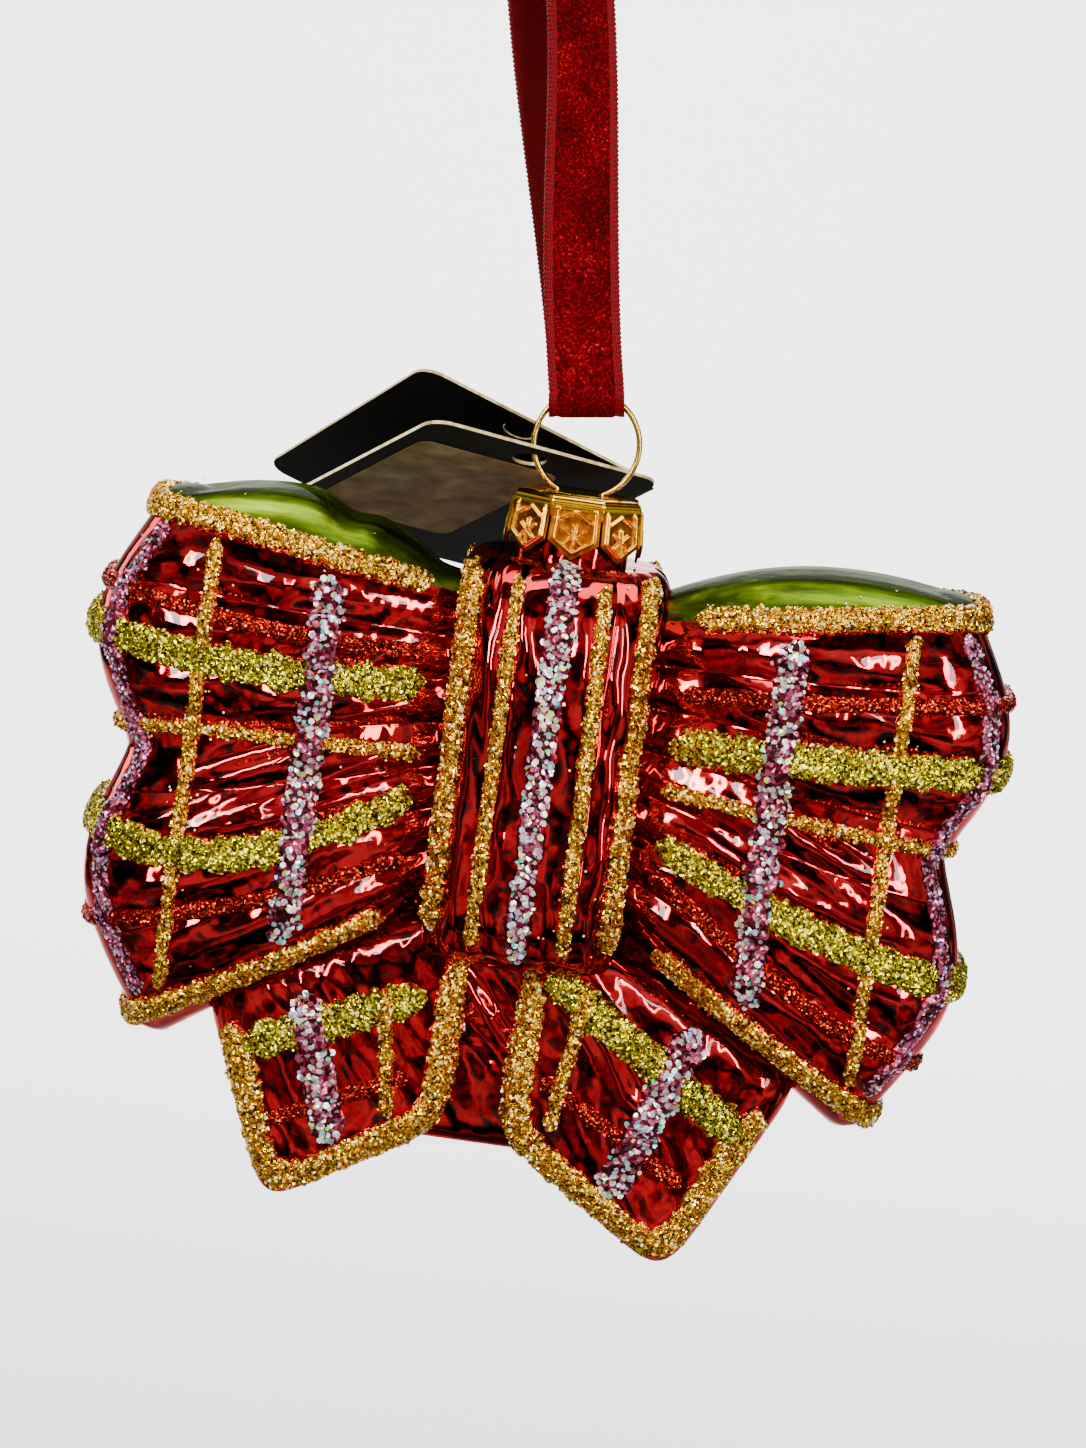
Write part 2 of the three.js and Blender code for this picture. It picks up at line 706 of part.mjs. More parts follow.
function addKnotLines(parent) {
  knotLines.forEach((line) => {
    const faces = line.bothFaces ? [['', 1], ['back_', -1]] : [['', 1]];
    faces.forEach(([prefix, face]) => {
      const surface = (angle, height) => {
        const point = knotPoint(angle, height);
        point.y *= face;
        return point;
      };
      const path = knotLineSteps.map((share) => {
        const height = lerp(knotTop - line.stops[0], knotBottom + line.stops[1], share);
        return [knotAngle(knotHalfWidth * lerp(line.x[0], line.x[1], share), height), height];
      });
      addLine(`${prefix}${line.name}`, surface, path, [1, 0], line, forward, parent);
    });
  });
}

// Shares down and across a tail's outline of a place in front view, found by closing in on it
function pillowShares(corners, x, z) {
  let [s, t] = [0, 0];
  const step = 1e-4;
  for (let i = 0; i < 12; i += 1) {
    const here = pillowPoint(corners, s, t, 1, tailDepths);
    const overS = pillowPoint(corners, s + step, t, 1, tailDepths).sub(here).divideScalar(step);
    const overT = pillowPoint(corners, s, t + step, 1, tailDepths).sub(here).divideScalar(step);
    const [dx, dz] = [x - here.x, z - here.z];
    const scale = overS.x * overT.z - overT.x * overS.z;
    s += (dx * overT.z - dz * overT.x) / scale;
    t += (dz * overS.x - dx * overS.z) / scale;
  }
  return [s, t];
}

function addTailLines(sideName, corners, tail, parent) {
  const face = (back) => (back ? 1 : -1);
  const onOutline = (back) => (angle, size) => {
    const [c, s] = [Math.cos(angle), Math.sin(angle)];
    const square = (Math.abs(c) ** tailCornerPower + Math.abs(s) ** tailCornerPower) ** (-1 / tailCornerPower);
    return pillowPoint(corners, size * square * c, size * square * s, face(back), tailDepths);
  };
  const inFront = (back) => (x, z) => {
    const [s, t] = pillowShares(corners, x, z);
    return pillowPoint(corners, s, t, face(back), tailDepths);
  };
  const [from, to] = tailEdgeLine.angles.map(radians);
  const edgePath = Array.from({ length: tailEdgeLine.steps + 1 }, (_, i) => (
    [lerp(from, to, i / tailEdgeLine.steps), tailEdgeLine.size]
  ));
  const placed = ([s, t]) => {
    const { x, z } = pillowPoint(corners, s, t, 1, tailDepths);
    return new THREE.Vector2(x, z);
  };
  const straight = (line, back, crossed) => {
    const [start, end] = [placed(line.from), placed(line.to)];
    const along = end.clone().sub(start);
    const length = along.length();
    along.normalize();
    const crossings = crossed.map((other) => {
      const [a, b] = [placed(other.from), placed(other.to)];
      const over = b.clone().sub(a).normalize();
      const slant = along.cross(over);
      return {
        at: a.clone().sub(start).cross(over) / slant,
        over: (other.width / 2 + crossingReach) / Math.abs(slant),
        top: other.height + crossingGap,
      };
    });
    const stations = steppingStations(0, length, crossings, rampLength, 4);
    const path = stations.map(([place, raised]) => (
      [start.x + along.x * place, start.y + along.y * place, raised]
    ));
    const name = `${sideName}_${back ? 'back_' : ''}${line.name}`;
    addLine(name, inFront(back), path, [along.y, -along.x], line, forward, parent);
  };
  [false, true].forEach((back) => {
    const name = `${sideName}_${back ? 'back_' : ''}tail_gold_edge`;
    addLine(name, onOutline(back), edgePath, [0, 1], tailEdgeLine, forward, parent);
    const level = tail.level.filter((line) => line.bothFaces || !back);
    level.forEach((line) => straight(line, back, []));
    tail.upright.filter((line) => line.bothFaces || !back).forEach((line) => straight(line, back, level));
  });
}

// Crown cap: a drawn cup with a round top. Its skirt is slit into eight flat pointed lobes

function cupRing(radius, height, square) {
  const flat = Math.PI / capLobes;
  return Array.from({ length: 6 * capLobes }, (_, i) => {
    const angle = (2 * Math.PI * i) / (6 * capLobes);
    const fromFlat = ((angle + flat) % (2 * flat)) - flat;
    const reach = radius * lerp(1, 1 / Math.cos(fromFlat), square);
    return [reach * Math.cos(angle), reach * Math.sin(angle), height];
  });
}

function crownCap() {
  const inner = capShoulderRadius - capSheet;
  const shoulder = capTop - capShoulderDrop;
  const hem = lobeTip - 0.2; // the tips are cut from here
  const cup = lofted([
    cupRing(capTopRadius, capTop, 0),
    cupRing(capBevelRadius, capTop - capBevelDrop, 0.4),
    cupRing(capShoulderRadius, shoulder, 1),
    cupRing(capHemRadius, hem, 1),
    cupRing(capHemRadius - capSheet, hem, 1),
    cupRing(inner, shoulder, 1),
    cupRing(inner - 0.2, capTop - capSheet, 0.4),
  ]);
  const notch = new THREE.Shape();
  const halfSlit = slitWidth / 2;
  const lobeHalf = (capHemRadius + stampHeight) * Math.tan(Math.PI / capLobes);
  notch.moveTo(-halfSlit, slitTop);
  notch.lineTo(-halfSlit, lobeShoulder);
  notch.lineTo(-lobeHalf, lobeTip);
  notch.lineTo(-lobeHalf, lobeTip - 2);
  notch.lineTo(lobeHalf, lobeTip - 2);
  notch.lineTo(lobeHalf, lobeTip);
  notch.lineTo(halfSlit, lobeShoulder);
  notch.lineTo(halfSlit, slitTop);
  const cutter = new THREE.ExtrudeGeometry(notch, { depth: 4, bevelEnabled: false });
  cutter.rotateX(Math.PI / 2);
  cutter.translate(0, 3 - capHemRadius, 0);
  const stamp = lobeStamp(shoulder, hem);
  let cap = solid(facingOut(cup));
  for (let i = 0; i < capLobes; i += 1) {
    cap = cap.add(stamp.rotate([0, 0, (360 * i) / capLobes]));
  }
  for (let i = 0; i < capLobes; i += 1) {
    const turned = cutter.clone().rotateZ((2 * Math.PI * (i + 0.5)) / capLobes);
    cap = cap.subtract(solid(turned));
  }
  [-1, 1].forEach((side) => {
    const hole = new THREE.CylinderGeometry(legHoleRadius, legHoleRadius, 4 * capSheet, 12);
    hole.rotateX(Math.PI / 2);
    hole.translate((side * legSpacing) / 2, 0, capTop - capSheet / 2);
    cap = cap.subtract(solid(hole));
  });
  return geometryOf(cap);
}

// Stamping of the lobe at the front, drawn in front view and laid on the lobe's flat
function lobeStamp(shoulder, hem) {
  const half = capShoulderRadius * Math.tan(Math.PI / capLobes) - slitWidth / 2 - borderInset;
  const slope = (lobeShoulder - lobeTip) / half;
  const outline = (inset) => [
    [-half + inset, borderTop - inset],
    [-half + inset, lobeShoulder + borderInset + inset / 2],
    [0, lobeTip + borderInset + inset * Math.hypot(1, slope)],
    [half - inset, lobeShoulder + borderInset + inset / 2],
    [half - inset, borderTop - inset],
  ];
  const bar = ([x0, z0], [x1, z1], width) => {
    const [dx, dz] = [x1 - x0, z1 - z0];
    const [nx, nz] = [(-dz * width) / 2, (dx * width) / 2].map((value) => value / Math.hypot(dx, dz));
    return [[x0 + nx, z0 + nz], [x1 + nx, z1 + nz], [x1 - nx, z1 - nz], [x0 - nx, z0 - nz]];
  };
  const thick = stampSink + stampHeight;
  const plate = (points, deep = thick) => {
    const shape = new THREE.Shape(points.map(([x, z]) => new THREE.Vector2(x, z)));
    const geometry = new THREE.ExtrudeGeometry(shape, { depth: deep, bevelEnabled: false });
    return solid(facingOut(geometry.toNonIndexed()));
  };
  const opening = plate(outline(borderWidth), 3 * thick).translate([0, 0, -thick]);
  const border = plate(outline(0)).subtract(opening);
  const chevronHalf = half - 1.5 * borderWidth;
  const chevron = [-1, 1].map((side) => (
    plate(bar([0, chevronTop], [side * chevronHalf, chevronTop - chevronDrop], starArm))
  ));
  const star = [30, 90, 150].map((angle) => {
    const [x, z] = [starReach * Math.cos(radians(angle)), starReach * Math.sin(radians(angle))];
    return plate(bar([-x, starCentre - z], [x, starCentre + z], starArm));
  });
  const flare = (Math.atan2(capHemRadius - capShoulderRadius, shoulder - hem) * 180) / Math.PI;
  return joined([border, ...chevron, ...star])
    .translate([0, -shoulder, 0])
    .rotate([90, 0, 0])
    .rotate([-flare, 0, 0])
    .translate([0, stampSink - capShoulderRadius, shoulder]);
}

// Wire hanger: a ring whose two ends turn down through the cap

function wireHanger() {
  const points = [];
  const legX = legSpacing / 2;
  const startAngle = -90 + bendAngle;
  for (let i = 0; i <= 5; i += 1) {
    points.push(new THREE.Vector3(legX, 0, lerp(capTop - legLength, capTop + legAbove, i / 5)));
  }
  const turn = 360 - 2 * bendAngle;
  const arcSteps = 26;
  for (let i = 0; i <= arcSteps; i += 1) {
    const angle = radians(startAngle + (turn * i) / arcSteps);
    points.push(new THREE.Vector3(
      ringRadius * Math.cos(angle),
      0,
      ringCentreHeight + ringRadius * Math.sin(angle),
    ));
  }
  for (let i = 5; i >= 0; i -= 1) {
    points.push(new THREE.Vector3(-legX, 0, lerp(capTop - legLength, capTop + legAbove, i / 5)));
  }
  const path = new THREE.CatmullRomCurve3(points, false, 'centripetal');
  const section = new THREE.Shape();
  for (let i = 0; i < wireSides; i += 1) {
    const angle = (2 * Math.PI * i) / wireSides;
    const [x, y] = [wireRadius * Math.cos(angle), wireRadius * Math.sin(angle)];
    if (i === 0) section.moveTo(x, y);
    else section.lineTo(x, y);
  }
  section.closePath();
  return new THREE.ExtrudeGeometry(section, { steps: 60, extrudePath: path, bevelEnabled: false });
}

// Velvet ribbon: an endless loop round the ring's wire. Its band turns a little from the bottom
// bend to the top one

function ribbonLoop() {
  const bottomHalf = ribbonBottomRadius + ribbonThickness / 2;
  const topHalf = ribbonTopRadius + ribbonThickness / 2;
  const wireDrop = Math.sqrt(ringRadius ** 2 - (ribbonWidth / 2) ** 2);
  const bottomInside = wireDrop - wireRadius - crossingGap;
  const bottomCentre = bottomInside + ribbonBottomRadius;
  const topCentre = ribbonRise - ribbonThickness - ribbonTopRadius;
  const bendSteps = 8;
  const strandSteps = 12;
  const stations = [];
  const station = (out, height, heading) => stations.push({ out, height, heading });
  for (let i = 0; i < bendSteps; i += 1) {
    const angle = (Math.PI * i) / bendSteps;
    station(-bottomHalf * Math.cos(angle), bottomCentre - bottomHalf * Math.sin(angle), angle - Math.PI);
  }
  for (let i = 0; i < strandSteps; i += 1) {
    const rise = i / strandSteps;
    const out = lerp(bottomHalf, topHalf, smoothstep(rise, 0, 1));
    station(out, lerp(bottomCentre, topCentre, rise), 0);
  }
  for (let i = 0; i < bendSteps; i += 1) {
    const angle = (Math.PI * i) / bendSteps;
    station(topHalf * Math.cos(angle), topCentre + topHalf * Math.sin(angle), angle);
  }
  for (let i = 0; i < strandSteps; i += 1) {
    const rise = 1 - i / strandSteps;
    const out = lerp(bottomHalf, topHalf, smoothstep(rise, 0, 1));
    station(-out, lerp(bottomCentre, topCentre, rise), Math.PI);
  }
  const rings = stations.map(({ out, height, heading }) => {
    const share = clamp((height - bottomCentre) / (topCentre - bottomCentre), 0, 1);
    const twist = radians(ribbonTwist) * smoothstep(share, 0, 1);
    const across = new THREE.Vector3(Math.cos(twist), Math.sin(twist), 0);
    const away = new THREE.Vector3(-Math.sin(twist), Math.cos(twist), 0);
    const centre = away.clone().multiplyScalar(out);
    centre.x += ribbonDrift * share;
    centre.z = height;
    const normal = away.clone().multiplyScalar(Math.cos(heading));
    normal.z = Math.sin(heading);
    const corner = (side, face) => centre.clone()
      .addScaledVector(across, (side * ribbonWidth) / 2)
      .addScaledVector(normal, (face * ribbonThickness) / 2)
      .toArray();
    return [corner(-1, -1), corner(1, -1), corner(1, 1), corner(-1, 1)];
  });
  return facingOut(loopedLoft(rings));
}

// Tag leaf: a card with rounded corners and one punched hole, drawn from its fold along its top

function tagLeaf(place) {
  const card = new THREE.Shape();
  const r = tagCorner;
  card.moveTo(0, 0);
  card.lineTo(tagWidth - r, 0);
  card.absarc(tagWidth - r, r, r, -Math.PI / 2, 0, false);
  card.lineTo(tagWidth, tagLength - r);
  card.absarc(tagWidth - r, tagLength - r, r, 0, Math.PI / 2, false);
  card.lineTo(0, tagLength);
  card.closePath();
  const hole = new THREE.Path();
  hole.absarc(tagHoleAlong, tagHoleInset, tagHoleRadius, 0, 2 * Math.PI, true);
  card.holes.push(hole);
  const settings = { depth: tagSheet, bevelEnabled: false, curveSegments: 5 };
  const leaf = new THREE.ExtrudeGeometry(card, settings);
  leaf.translate(0, 0, -tagSheet / 2);
  const along = new THREE.Vector3(...place.along).normalize();
  const down = new THREE.Vector3(...place.down);
  down.addScaledVector(along, -along.dot(down)).normalize();
  const turn = new THREE.Matrix4().makeBasis(along, down, along.clone().cross(down));
  const [x, y, z] = place.fold;
  return leaf.applyMatrix4(turn).translate(x, y, ringCentreHeight + z);
}

const ornament = new THREE.Group();
const bow = new THREE.Group();
const lean = radians(-tilt);
const hangingPoint = new THREE.Vector3(ribbonDrift, 0, ribbonRise - ribbonThickness);
hangingPoint.applyAxisAngle(new THREE.Vector3(0, 1, 0), lean);
bow.position.set(-hangingPoint.x, 0, -hangingPoint.z - ringCentreHeight);
ornament.add(bow);

part('glass_body', glassBody(), tangible(0xb00018, 0.08, 0.35), bow);
addBands(-1, 'left', leftBands, bow);
addBands(1, 'right', rightBands, bow);
addUprights(-1, 'left', leftBands, bow);
addUprights(1, 'right', rightBands, bow);
addKnotLines(bow);
addTailLines('left', leftTailCorners, leftTail, bow);
addTailLines('right', rightTailCorners, rightTail, bow);
part('crown_cap', crownCap(), tangible(0xe0a000, 0.25, 0.95), bow);
part('wire_hanger', wireHanger(), tangible(0xc9a85a, 0.3, 0.95), bow);
part('tag_front_leaf', tagLeaf(frontLeaf), tangible(0x0a0a08, 0.6, 0), bow);
part('tag_rear_leaf', tagLeaf(rearLeaf), tangible(0x0a0a08, 0.6, 0), bow);

const ribbonFrame = new THREE.Group();
ribbonFrame.position.z = ringCentreHeight;
ribbonFrame.rotation.y = lean;
bow.add(ribbonFrame);
part('velvet_ribbon', ribbonLoop(), tangible(0x7a0008, 0.85, 0), ribbonFrame);

export default ornament;
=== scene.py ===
import math
import bpy
import numpy as np
from mathutils import Matrix, Vector
from mathutils.geometry import delaunay_2d_cdt


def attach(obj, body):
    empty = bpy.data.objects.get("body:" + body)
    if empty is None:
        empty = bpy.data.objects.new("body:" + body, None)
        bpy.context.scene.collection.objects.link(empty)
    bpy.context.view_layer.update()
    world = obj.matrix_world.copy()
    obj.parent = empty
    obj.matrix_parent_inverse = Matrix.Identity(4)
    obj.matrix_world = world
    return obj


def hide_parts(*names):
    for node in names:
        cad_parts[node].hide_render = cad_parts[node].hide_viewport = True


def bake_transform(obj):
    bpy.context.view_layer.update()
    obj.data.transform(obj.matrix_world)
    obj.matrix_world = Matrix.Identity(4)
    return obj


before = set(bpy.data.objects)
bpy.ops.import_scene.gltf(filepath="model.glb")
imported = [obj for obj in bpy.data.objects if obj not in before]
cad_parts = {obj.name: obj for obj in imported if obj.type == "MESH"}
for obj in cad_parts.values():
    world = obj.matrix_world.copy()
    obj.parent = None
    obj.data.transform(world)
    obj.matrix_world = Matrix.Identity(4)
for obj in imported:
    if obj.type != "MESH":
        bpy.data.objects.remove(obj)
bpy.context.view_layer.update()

rng = np.random.default_rng(24)
print("frame loaded")

# All shapes are drawn in millimetres about the bow's centre, +Z up and the front towards -Y
tilt = math.radians(8)  # lean of the ribbon against the bow
ringCentre = 47.9  # height above the bow's centre
hangPoint = (-3.5, 65.4)  # drift and height of the ribbon's inside top, from the ring's centre
bowPlace = np.array([
    -(hangPoint[0] * math.cos(tilt) - hangPoint[1] * math.sin(tilt)),
    0.0,
    -(hangPoint[0] * math.sin(tilt) + hangPoint[1] * math.cos(tilt)) - ringCentre,
])


def toMetres(points):
    return (np.asarray(points, float) + bowPlace) * 0.001


def lerp(a, b, t):
    return a + (b - a) * t


def smooth(x, low, high):
    t = np.clip((x - low) / (high - low), 0, 1)
    return t * t * (3 - 2 * t)


def arch(q, power):
    return np.maximum(0, 1 - np.abs(q) ** power) ** (1 / power)


def unit(v):
    return v / np.maximum(1e-12, np.linalg.norm(v, axis=-1, keepdims=True))


def ripple(seed, count, lowest, highest):  # a smooth random wave of two places, from a few sines
    source = np.random.default_rng(seed)
    turns = source.uniform(0, 2 * np.pi, count)
    first = source.uniform(*lowest, count)
    second = source.uniform(*highest, count)
    return lambda a, b: sum(
        np.sin(f * a + g * b + t) for f, g, t in zip(first, second, turns)
    ) / math.sqrt(count)


# Mesh building

def newShell():
    return {"points": [], "faces": [], "slots": [], "count": 0}


def addGrid(shell, points, slot=0, across=False, along=False, flip=False):  # rows x columns x 3
    rows, columns = points.shape[:2]
    start = shell["count"]
    shell["points"].append(points.reshape(-1, 3))
    shell["count"] += rows * columns
    r = np.arange(rows if along else rows - 1)[:, None]
    c = np.arange(columns if across else columns - 1)[None, :]
    rn, cn = (r + 1) % rows, (c + 1) % columns
    quads = np.stack([r * columns + c, r * columns + cn, rn * columns + cn, rn * columns + c], -1)
    quads = quads.reshape(-1, 4) + start
    if flip:
        quads = quads[:, ::-1]
    shell["faces"] += quads.tolist()
    slots = np.broadcast_to(slot, (r.size, c.size)).reshape(-1)
    shell["slots"] += slots.tolist()


def addFaces(shell, points, faces, slot=0):
    start = shell["count"]
    shell["points"].append(np.asarray(points).reshape(-1, 3))
    shell["count"] += len(shell["points"][-1])
    shell["faces"] += [[i + start for i in face] for face in faces]
    shell["slots"] += [slot] * len(faces)


def closeEnds(shell, rows, orders=(1, 1)):  # one flat face over each end of a tube
    for end, order in zip((0, -1), orders):
        addFaces(shell, rows[end], [list(range(rows.shape[1]))[::order]])


def addObject(name, data):
    thing = bpy.data.objects.new(name, data)
    bpy.context.scene.collection.objects.link(thing)
    return thing


def makePiece(name, shell, materials, body, nodes=(), shaded=True):
    mesh = bpy.data.meshes.new(name)
    points = toMetres(np.concatenate(shell["points"]))
    mesh.from_pydata(points.tolist(), [], shell["faces"])
    for material in materials:
        mesh.materials.append(material)
    mesh.polygons.foreach_set("material_index", shell["slots"])
    mesh.polygons.foreach_set("use_smooth", [shaded] * len(mesh.polygons))
    mesh.update()
    piece = addObject(name, mesh)
    if body:
        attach(piece, body)
    if nodes:
        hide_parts(*nodes)
    return piece


# Materials

def hexColour(text):
    values = [int(text[i:i + 2], 16) / 255 for i in (1, 3, 5)]
    return [v / 12.92 if v <= 0.04045 else ((v + 0.055) / 1.055) ** 2.4 for v in values] + [1.0]


def addNode(tree, kind, settings=None, links=None):  # settings go to sockets or attributes
    node = tree.nodes.new(kind)
    for key, value in (settings or {}).items():
        if key in node.inputs:
            node.inputs[key].default_value = value
        else:
            setattr(node, key, value)
    for key, source in (links or {}).items():
        tree.links.new(source, node.inputs[key])
    return node


def maths(tree, operation, *values):  # over sockets and numbers
    node = addNode(tree, "ShaderNodeMath", {"operation": operation})
    for socket, value in zip(node.inputs, values):
        if isinstance(value, float):
            socket.default_value = value
        else:
            tree.links.new(value, socket)
    return node.outputs["Value"]


def startMaterial(name, settings):
    material = bpy.data.materials.new(name)
    material.use_nodes = True
    tree = material.node_tree
    surface = tree.nodes["Principled BSDF"]
    for key, value in settings.items():
        surface.inputs[key].default_value = value
    return material, tree, surface


def rampOf(tree, source, stops, constant=False):
    ramp = addNode(tree, "ShaderNodeValToRGB", None, {"Fac": source})
    colours = ramp.color_ramp
    colours.interpolation = "CONSTANT" if constant else "LINEAR"
    while len(colours.elements) < len(stops):
        colours.elements.new(0.5)
    for element, (place, colour) in zip(colours.elements, stops):
        element.position = place
        element.color = hexColour(colour)
    return ramp.outputs["Color"]


def paint(tree, surface, share, stops, constant=False):
    tree.links.new(rampOf(tree, share, stops, constant), surface.inputs["Base Color"])


def emboss(tree, surface, height, strength, depth):
    raised = addNode(tree, "ShaderNodeBump", {"Strength": strength, "Distance": depth}, {"Height": height})
    tree.links.new(raised.outputs["Normal"], surface.inputs["Normal"])


def placeOf(tree):
    return addNode(tree, "ShaderNodeTexCoord").outputs["Object"]


def noiseOf(tree, scale, detail, place=None, **more):
    settings = {"Scale": scale, "Detail": detail, **more}
    return addNode(tree, "ShaderNodeTexNoise", settings, {"Vector": place or placeOf(tree)}).outputs["Fac"]


def mottled(name, settings, scale, detail, stops, strength=0, depth=0.0001):
    # one noise for both the colour and the relief
    material, tree, surface = startMaterial(name, settings)
    share = noiseOf(tree, scale, detail)
    paint(tree, surface, share, stops)
    if strength:
        emboss(tree, surface, share, strength, depth)
    return material


def lacqueredGlass(name, rough, coat, tint, stops, streak, dents):
    # silvered blown glass under tinted lacquer: a mirror that takes the lacquer's colour
    material, tree, surface = startMaterial(name, {
        "Metallic": 1.0, "Roughness": rough, "Specular Tint": hexColour(tint),
        "Coat Weight": coat, "Coat Roughness": 0.02,
    })
    place = placeOf(tree)
    stretched = addNode(tree, "ShaderNodeMapping", {"Scale": streak}, {"Vector": place})
    paint(tree, surface, noiseOf(tree, 1.0, 6.0, stretched.outputs["Vector"], Roughness=0.6), stops)
    emboss(tree, surface, noiseOf(tree, 210.0, 1.5, place), dents, 0.001)  # 5 mm waves of the blown wall
    return material


def grainTilt(tree, grain, tilt):  # turns each grain of a cell pattern its own way
    grains = addNode(tree, "ShaderNodeTexVoronoi", {"Scale": 1000 / grain}, {"Vector": placeOf(tree)})
    centred = addNode(tree, "ShaderNodeVectorMath", {"operation": "SUBTRACT"}, {0: grains.outputs["Color"]})
    centred.inputs[1].default_value = (0.5, 0.5, 0.5)
    scaled = addNode(tree, "ShaderNodeVectorMath", {"operation": "SCALE"}, {0: centred.outputs["Vector"]})
    scaled.inputs["Scale"].default_value = tilt
    geometry = addNode(tree, "ShaderNodeNewGeometry")
    turned = addNode(tree, "ShaderNodeVectorMath", {"operation": "ADD"},
                     {0: scaled.outputs["Vector"], 1: geometry.outputs["Normal"]})
    facing = addNode(tree, "ShaderNodeVectorMath", {"operation": "NORMALIZE"},
                     {0: turned.outputs["Vector"]})
    return grains.outputs["Color"], geometry.outputs["Random Per Island"], facing.outputs["Vector"]


def glitter(name, stops, grain, settings, tilt=0.9):
    # cut metallised film in clear glue: each grain is a small mirror at its own angle
    material, tree, surface = startMaterial(name, settings)
    colour, island, facing = grainTilt(tree, grain, tilt)
    red = addNode(tree, "ShaderNodeSeparateColor", None, {"Color": colour}).outputs["Red"]
    paint(tree, surface, maths(tree, "FRACT", maths(tree, "ADD", red, island)), stops, True)
    tree.links.new(facing, surface.inputs["Normal"])
    return material


# deep cherry red, near black where the room is dark
redLacquer = lacqueredGlass(
    "red_lacquered_silvered_glass", 0.06, 0.3, "#C00010",
    [(0.3, "#900008"), (0.55, "#B80010"), (0.8, "#D8001E")], (90, 90, 90), 0.5)
# moss green brushed on across the domes, duller than the red, with streaks
greenLacquer = lacqueredGlass(
    "green_brushed_lacquer_on_glass", 0.34, 0.05, "#4A5A0C",
    [(0.3, "#263004"), (0.45, "#465A06"), (0.6, "#6C8212"), (0.78, "#A8BA34")], (40, 380, 380), 0.35)
film = {"Metallic": 1.0, "Roughness": 0.24}  # grains that lie in the glue
paintedGlintFilm = {"Metallic": 0.2, "Roughness": 0.4}  # paler grains that stand in for glints, a painted glint, less metallic so that they read as pale dots
pearlFilm = {"Metallic": 0.6, "Roughness": 0.25}  # film that changes its colour with the angle
# gold: grains from amber to bright yellow at random, with paler grains as painted glints
goldGlitter = glitter("gold_polyester_glitter", [
    (0, "#5A3000"), (0.14, "#B07400"), (0.36, "#F0AC00"), (0.64, "#FFC800"), (0.84, "#FFDC50")], 0.34, film)
goldPaintedGlint = glitter("gold_glitter_painted_glint_grains", [
    (0, "#FFC020"), (0.35, "#FFE480"), (0.7, "#FFFCE0")], 0.34, paintedGlintFilm)
# olive: dark khaki to acid yellow, with paler grains as painted glints
oliveGlitter = glitter("olive_polyester_glitter", [
    (0, "#2E2800"), (0.14, "#7C7000"), (0.36, "#C0AE00"), (0.64, "#E4D000"), (0.84, "#FAEC30")], 0.34, film)
olivePaintedGlint = glitter("olive_glitter_painted_glint_grains", [
    (0, "#D0C400"), (0.4, "#F4EA50"), (0.75, "#FFFFD0")], 0.34, paintedGlintFilm)
# red: finer grains, hardly lighter than the glass, with orange grains as painted glints
redGlitter = glitter("red_polyester_glitter", [
    (0, "#380000"), (0.25, "#7A0600"), (0.55, "#B81800"), (0.85, "#F04400")], 0.28, film)
redPaintedGlint = glitter("red_glitter_painted_glint_grains", [
    (0, "#D02800"), (0.5, "#FF7A28"), (0.85, "#FFD0A0")], 0.28, paintedGlintFilm)
# silver and lilac: large flakes, white with pink, green and blue glints, and the glass shows between
flakeBed = glitter("clear_glue_over_red_glass", [
    (0, "#30000A"), (0.4, "#700E28"), (0.75, "#A84C68")], 0.7, {"Metallic": 0.6, "Roughness": 0.2}, 0.4)
silverGlitter = glitter("iridescent_hexagon_flakes", [
    (0, "#A89098"), (0.16, "#DCD0D0"), (0.34, "#FFFFFF"), (0.54, "#F4A0C0"), (0.62, "#88F0B0"),
    (0.71, "#CCB0F4"), (0.78, "#FFF468"), (0.87, "#48D8E0"), (0.94, "#FFFFFF")], 0.95, pearlFilm, 0.45)
lilacGlitter = glitter("lilac_rim_glitter", [
    (0, "#904068"), (0.2, "#D080B0"), (0.4, "#F0A0C8"), (0.58, "#C8A0F0"), (0.76, "#F0E8FF"),
    (0.92, "#90F0C0")], 0.5, pearlFilm, 0.5)
print("glass and glitter materials ready")


# Blown glass bow

loop = {
    "rootX": 8, "rootTop": 25.7, "rootBottom": -11, "rimTop": (55.5, 33.5), "rimBottom": (50.5, -36.2),
    "waist": (55.6, 0), "bulge": 6.2, "corner": 5, "dome": 4.5, "sole": 2.8, "rootDepth": 10.5,
    "depth": 20, "dip": 2.6, "dipWidth": 6, "flutes": 7, "flute": 1.1, "rimPower": 4, "edgePower": 4.5,
    "swell": 0.55, "fluteGrowth": 0.35, "wrinkle": 0.28, "dent": 0.12,
}
domes = {
    -1: {"rise": 6.3, "middle": 0.58, "spread": 0.44, "crease": 1.4},
    1: {"rise": 5.4, "middle": 0.5, "spread": 0.55, "crease": 0},
}
leastDome, domeSoftness = 0.28, 30  # how far a dome sinks at its ends, and how sharply it meets that
creaseAt, creaseWidth = 0.5, 0.07
rimHeight = loop["rimTop"][1] - loop["rimBottom"][1]
lowestShare = -loop["sole"] / rimHeight
highestShare = 1 + loop["dome"] / rimHeight
waistShare = (loop["waist"][1] - loop["rimBottom"][1]) / rimHeight
wrinkles = ripple(5, 12, (14, 60), (3, 22))
dents = ripple(21, 14, (45, 120), (8, 34))
knotWaves = ripple(8, 14, (8, 30), (0.05, 0.7))
tailWaves = ripple(13, 14, (0.4, 1.3), (0.3, 1.2))


def rimReach(v):
    below = v < waistShare
    part = np.clip(np.where(below, v / waistShare, (v - waistShare) / (1 - waistShare)), 0, 1)
    chord = np.where(below, lerp(loop["rimBottom"][0], loop["waist"][0], part),
                     lerp(loop["waist"][0], loop["rimTop"][0], part))
    beyond = np.where(v < 0, v / lowestShare, np.maximum(0, (v - 1) / (highestShare - 1)))
    retreat = loop["corner"] * (1 - np.sqrt(1 - np.minimum(1, beyond) ** 2))
    return chord + loop["bulge"] * np.sin(np.pi * part) ** 1.2 - retreat


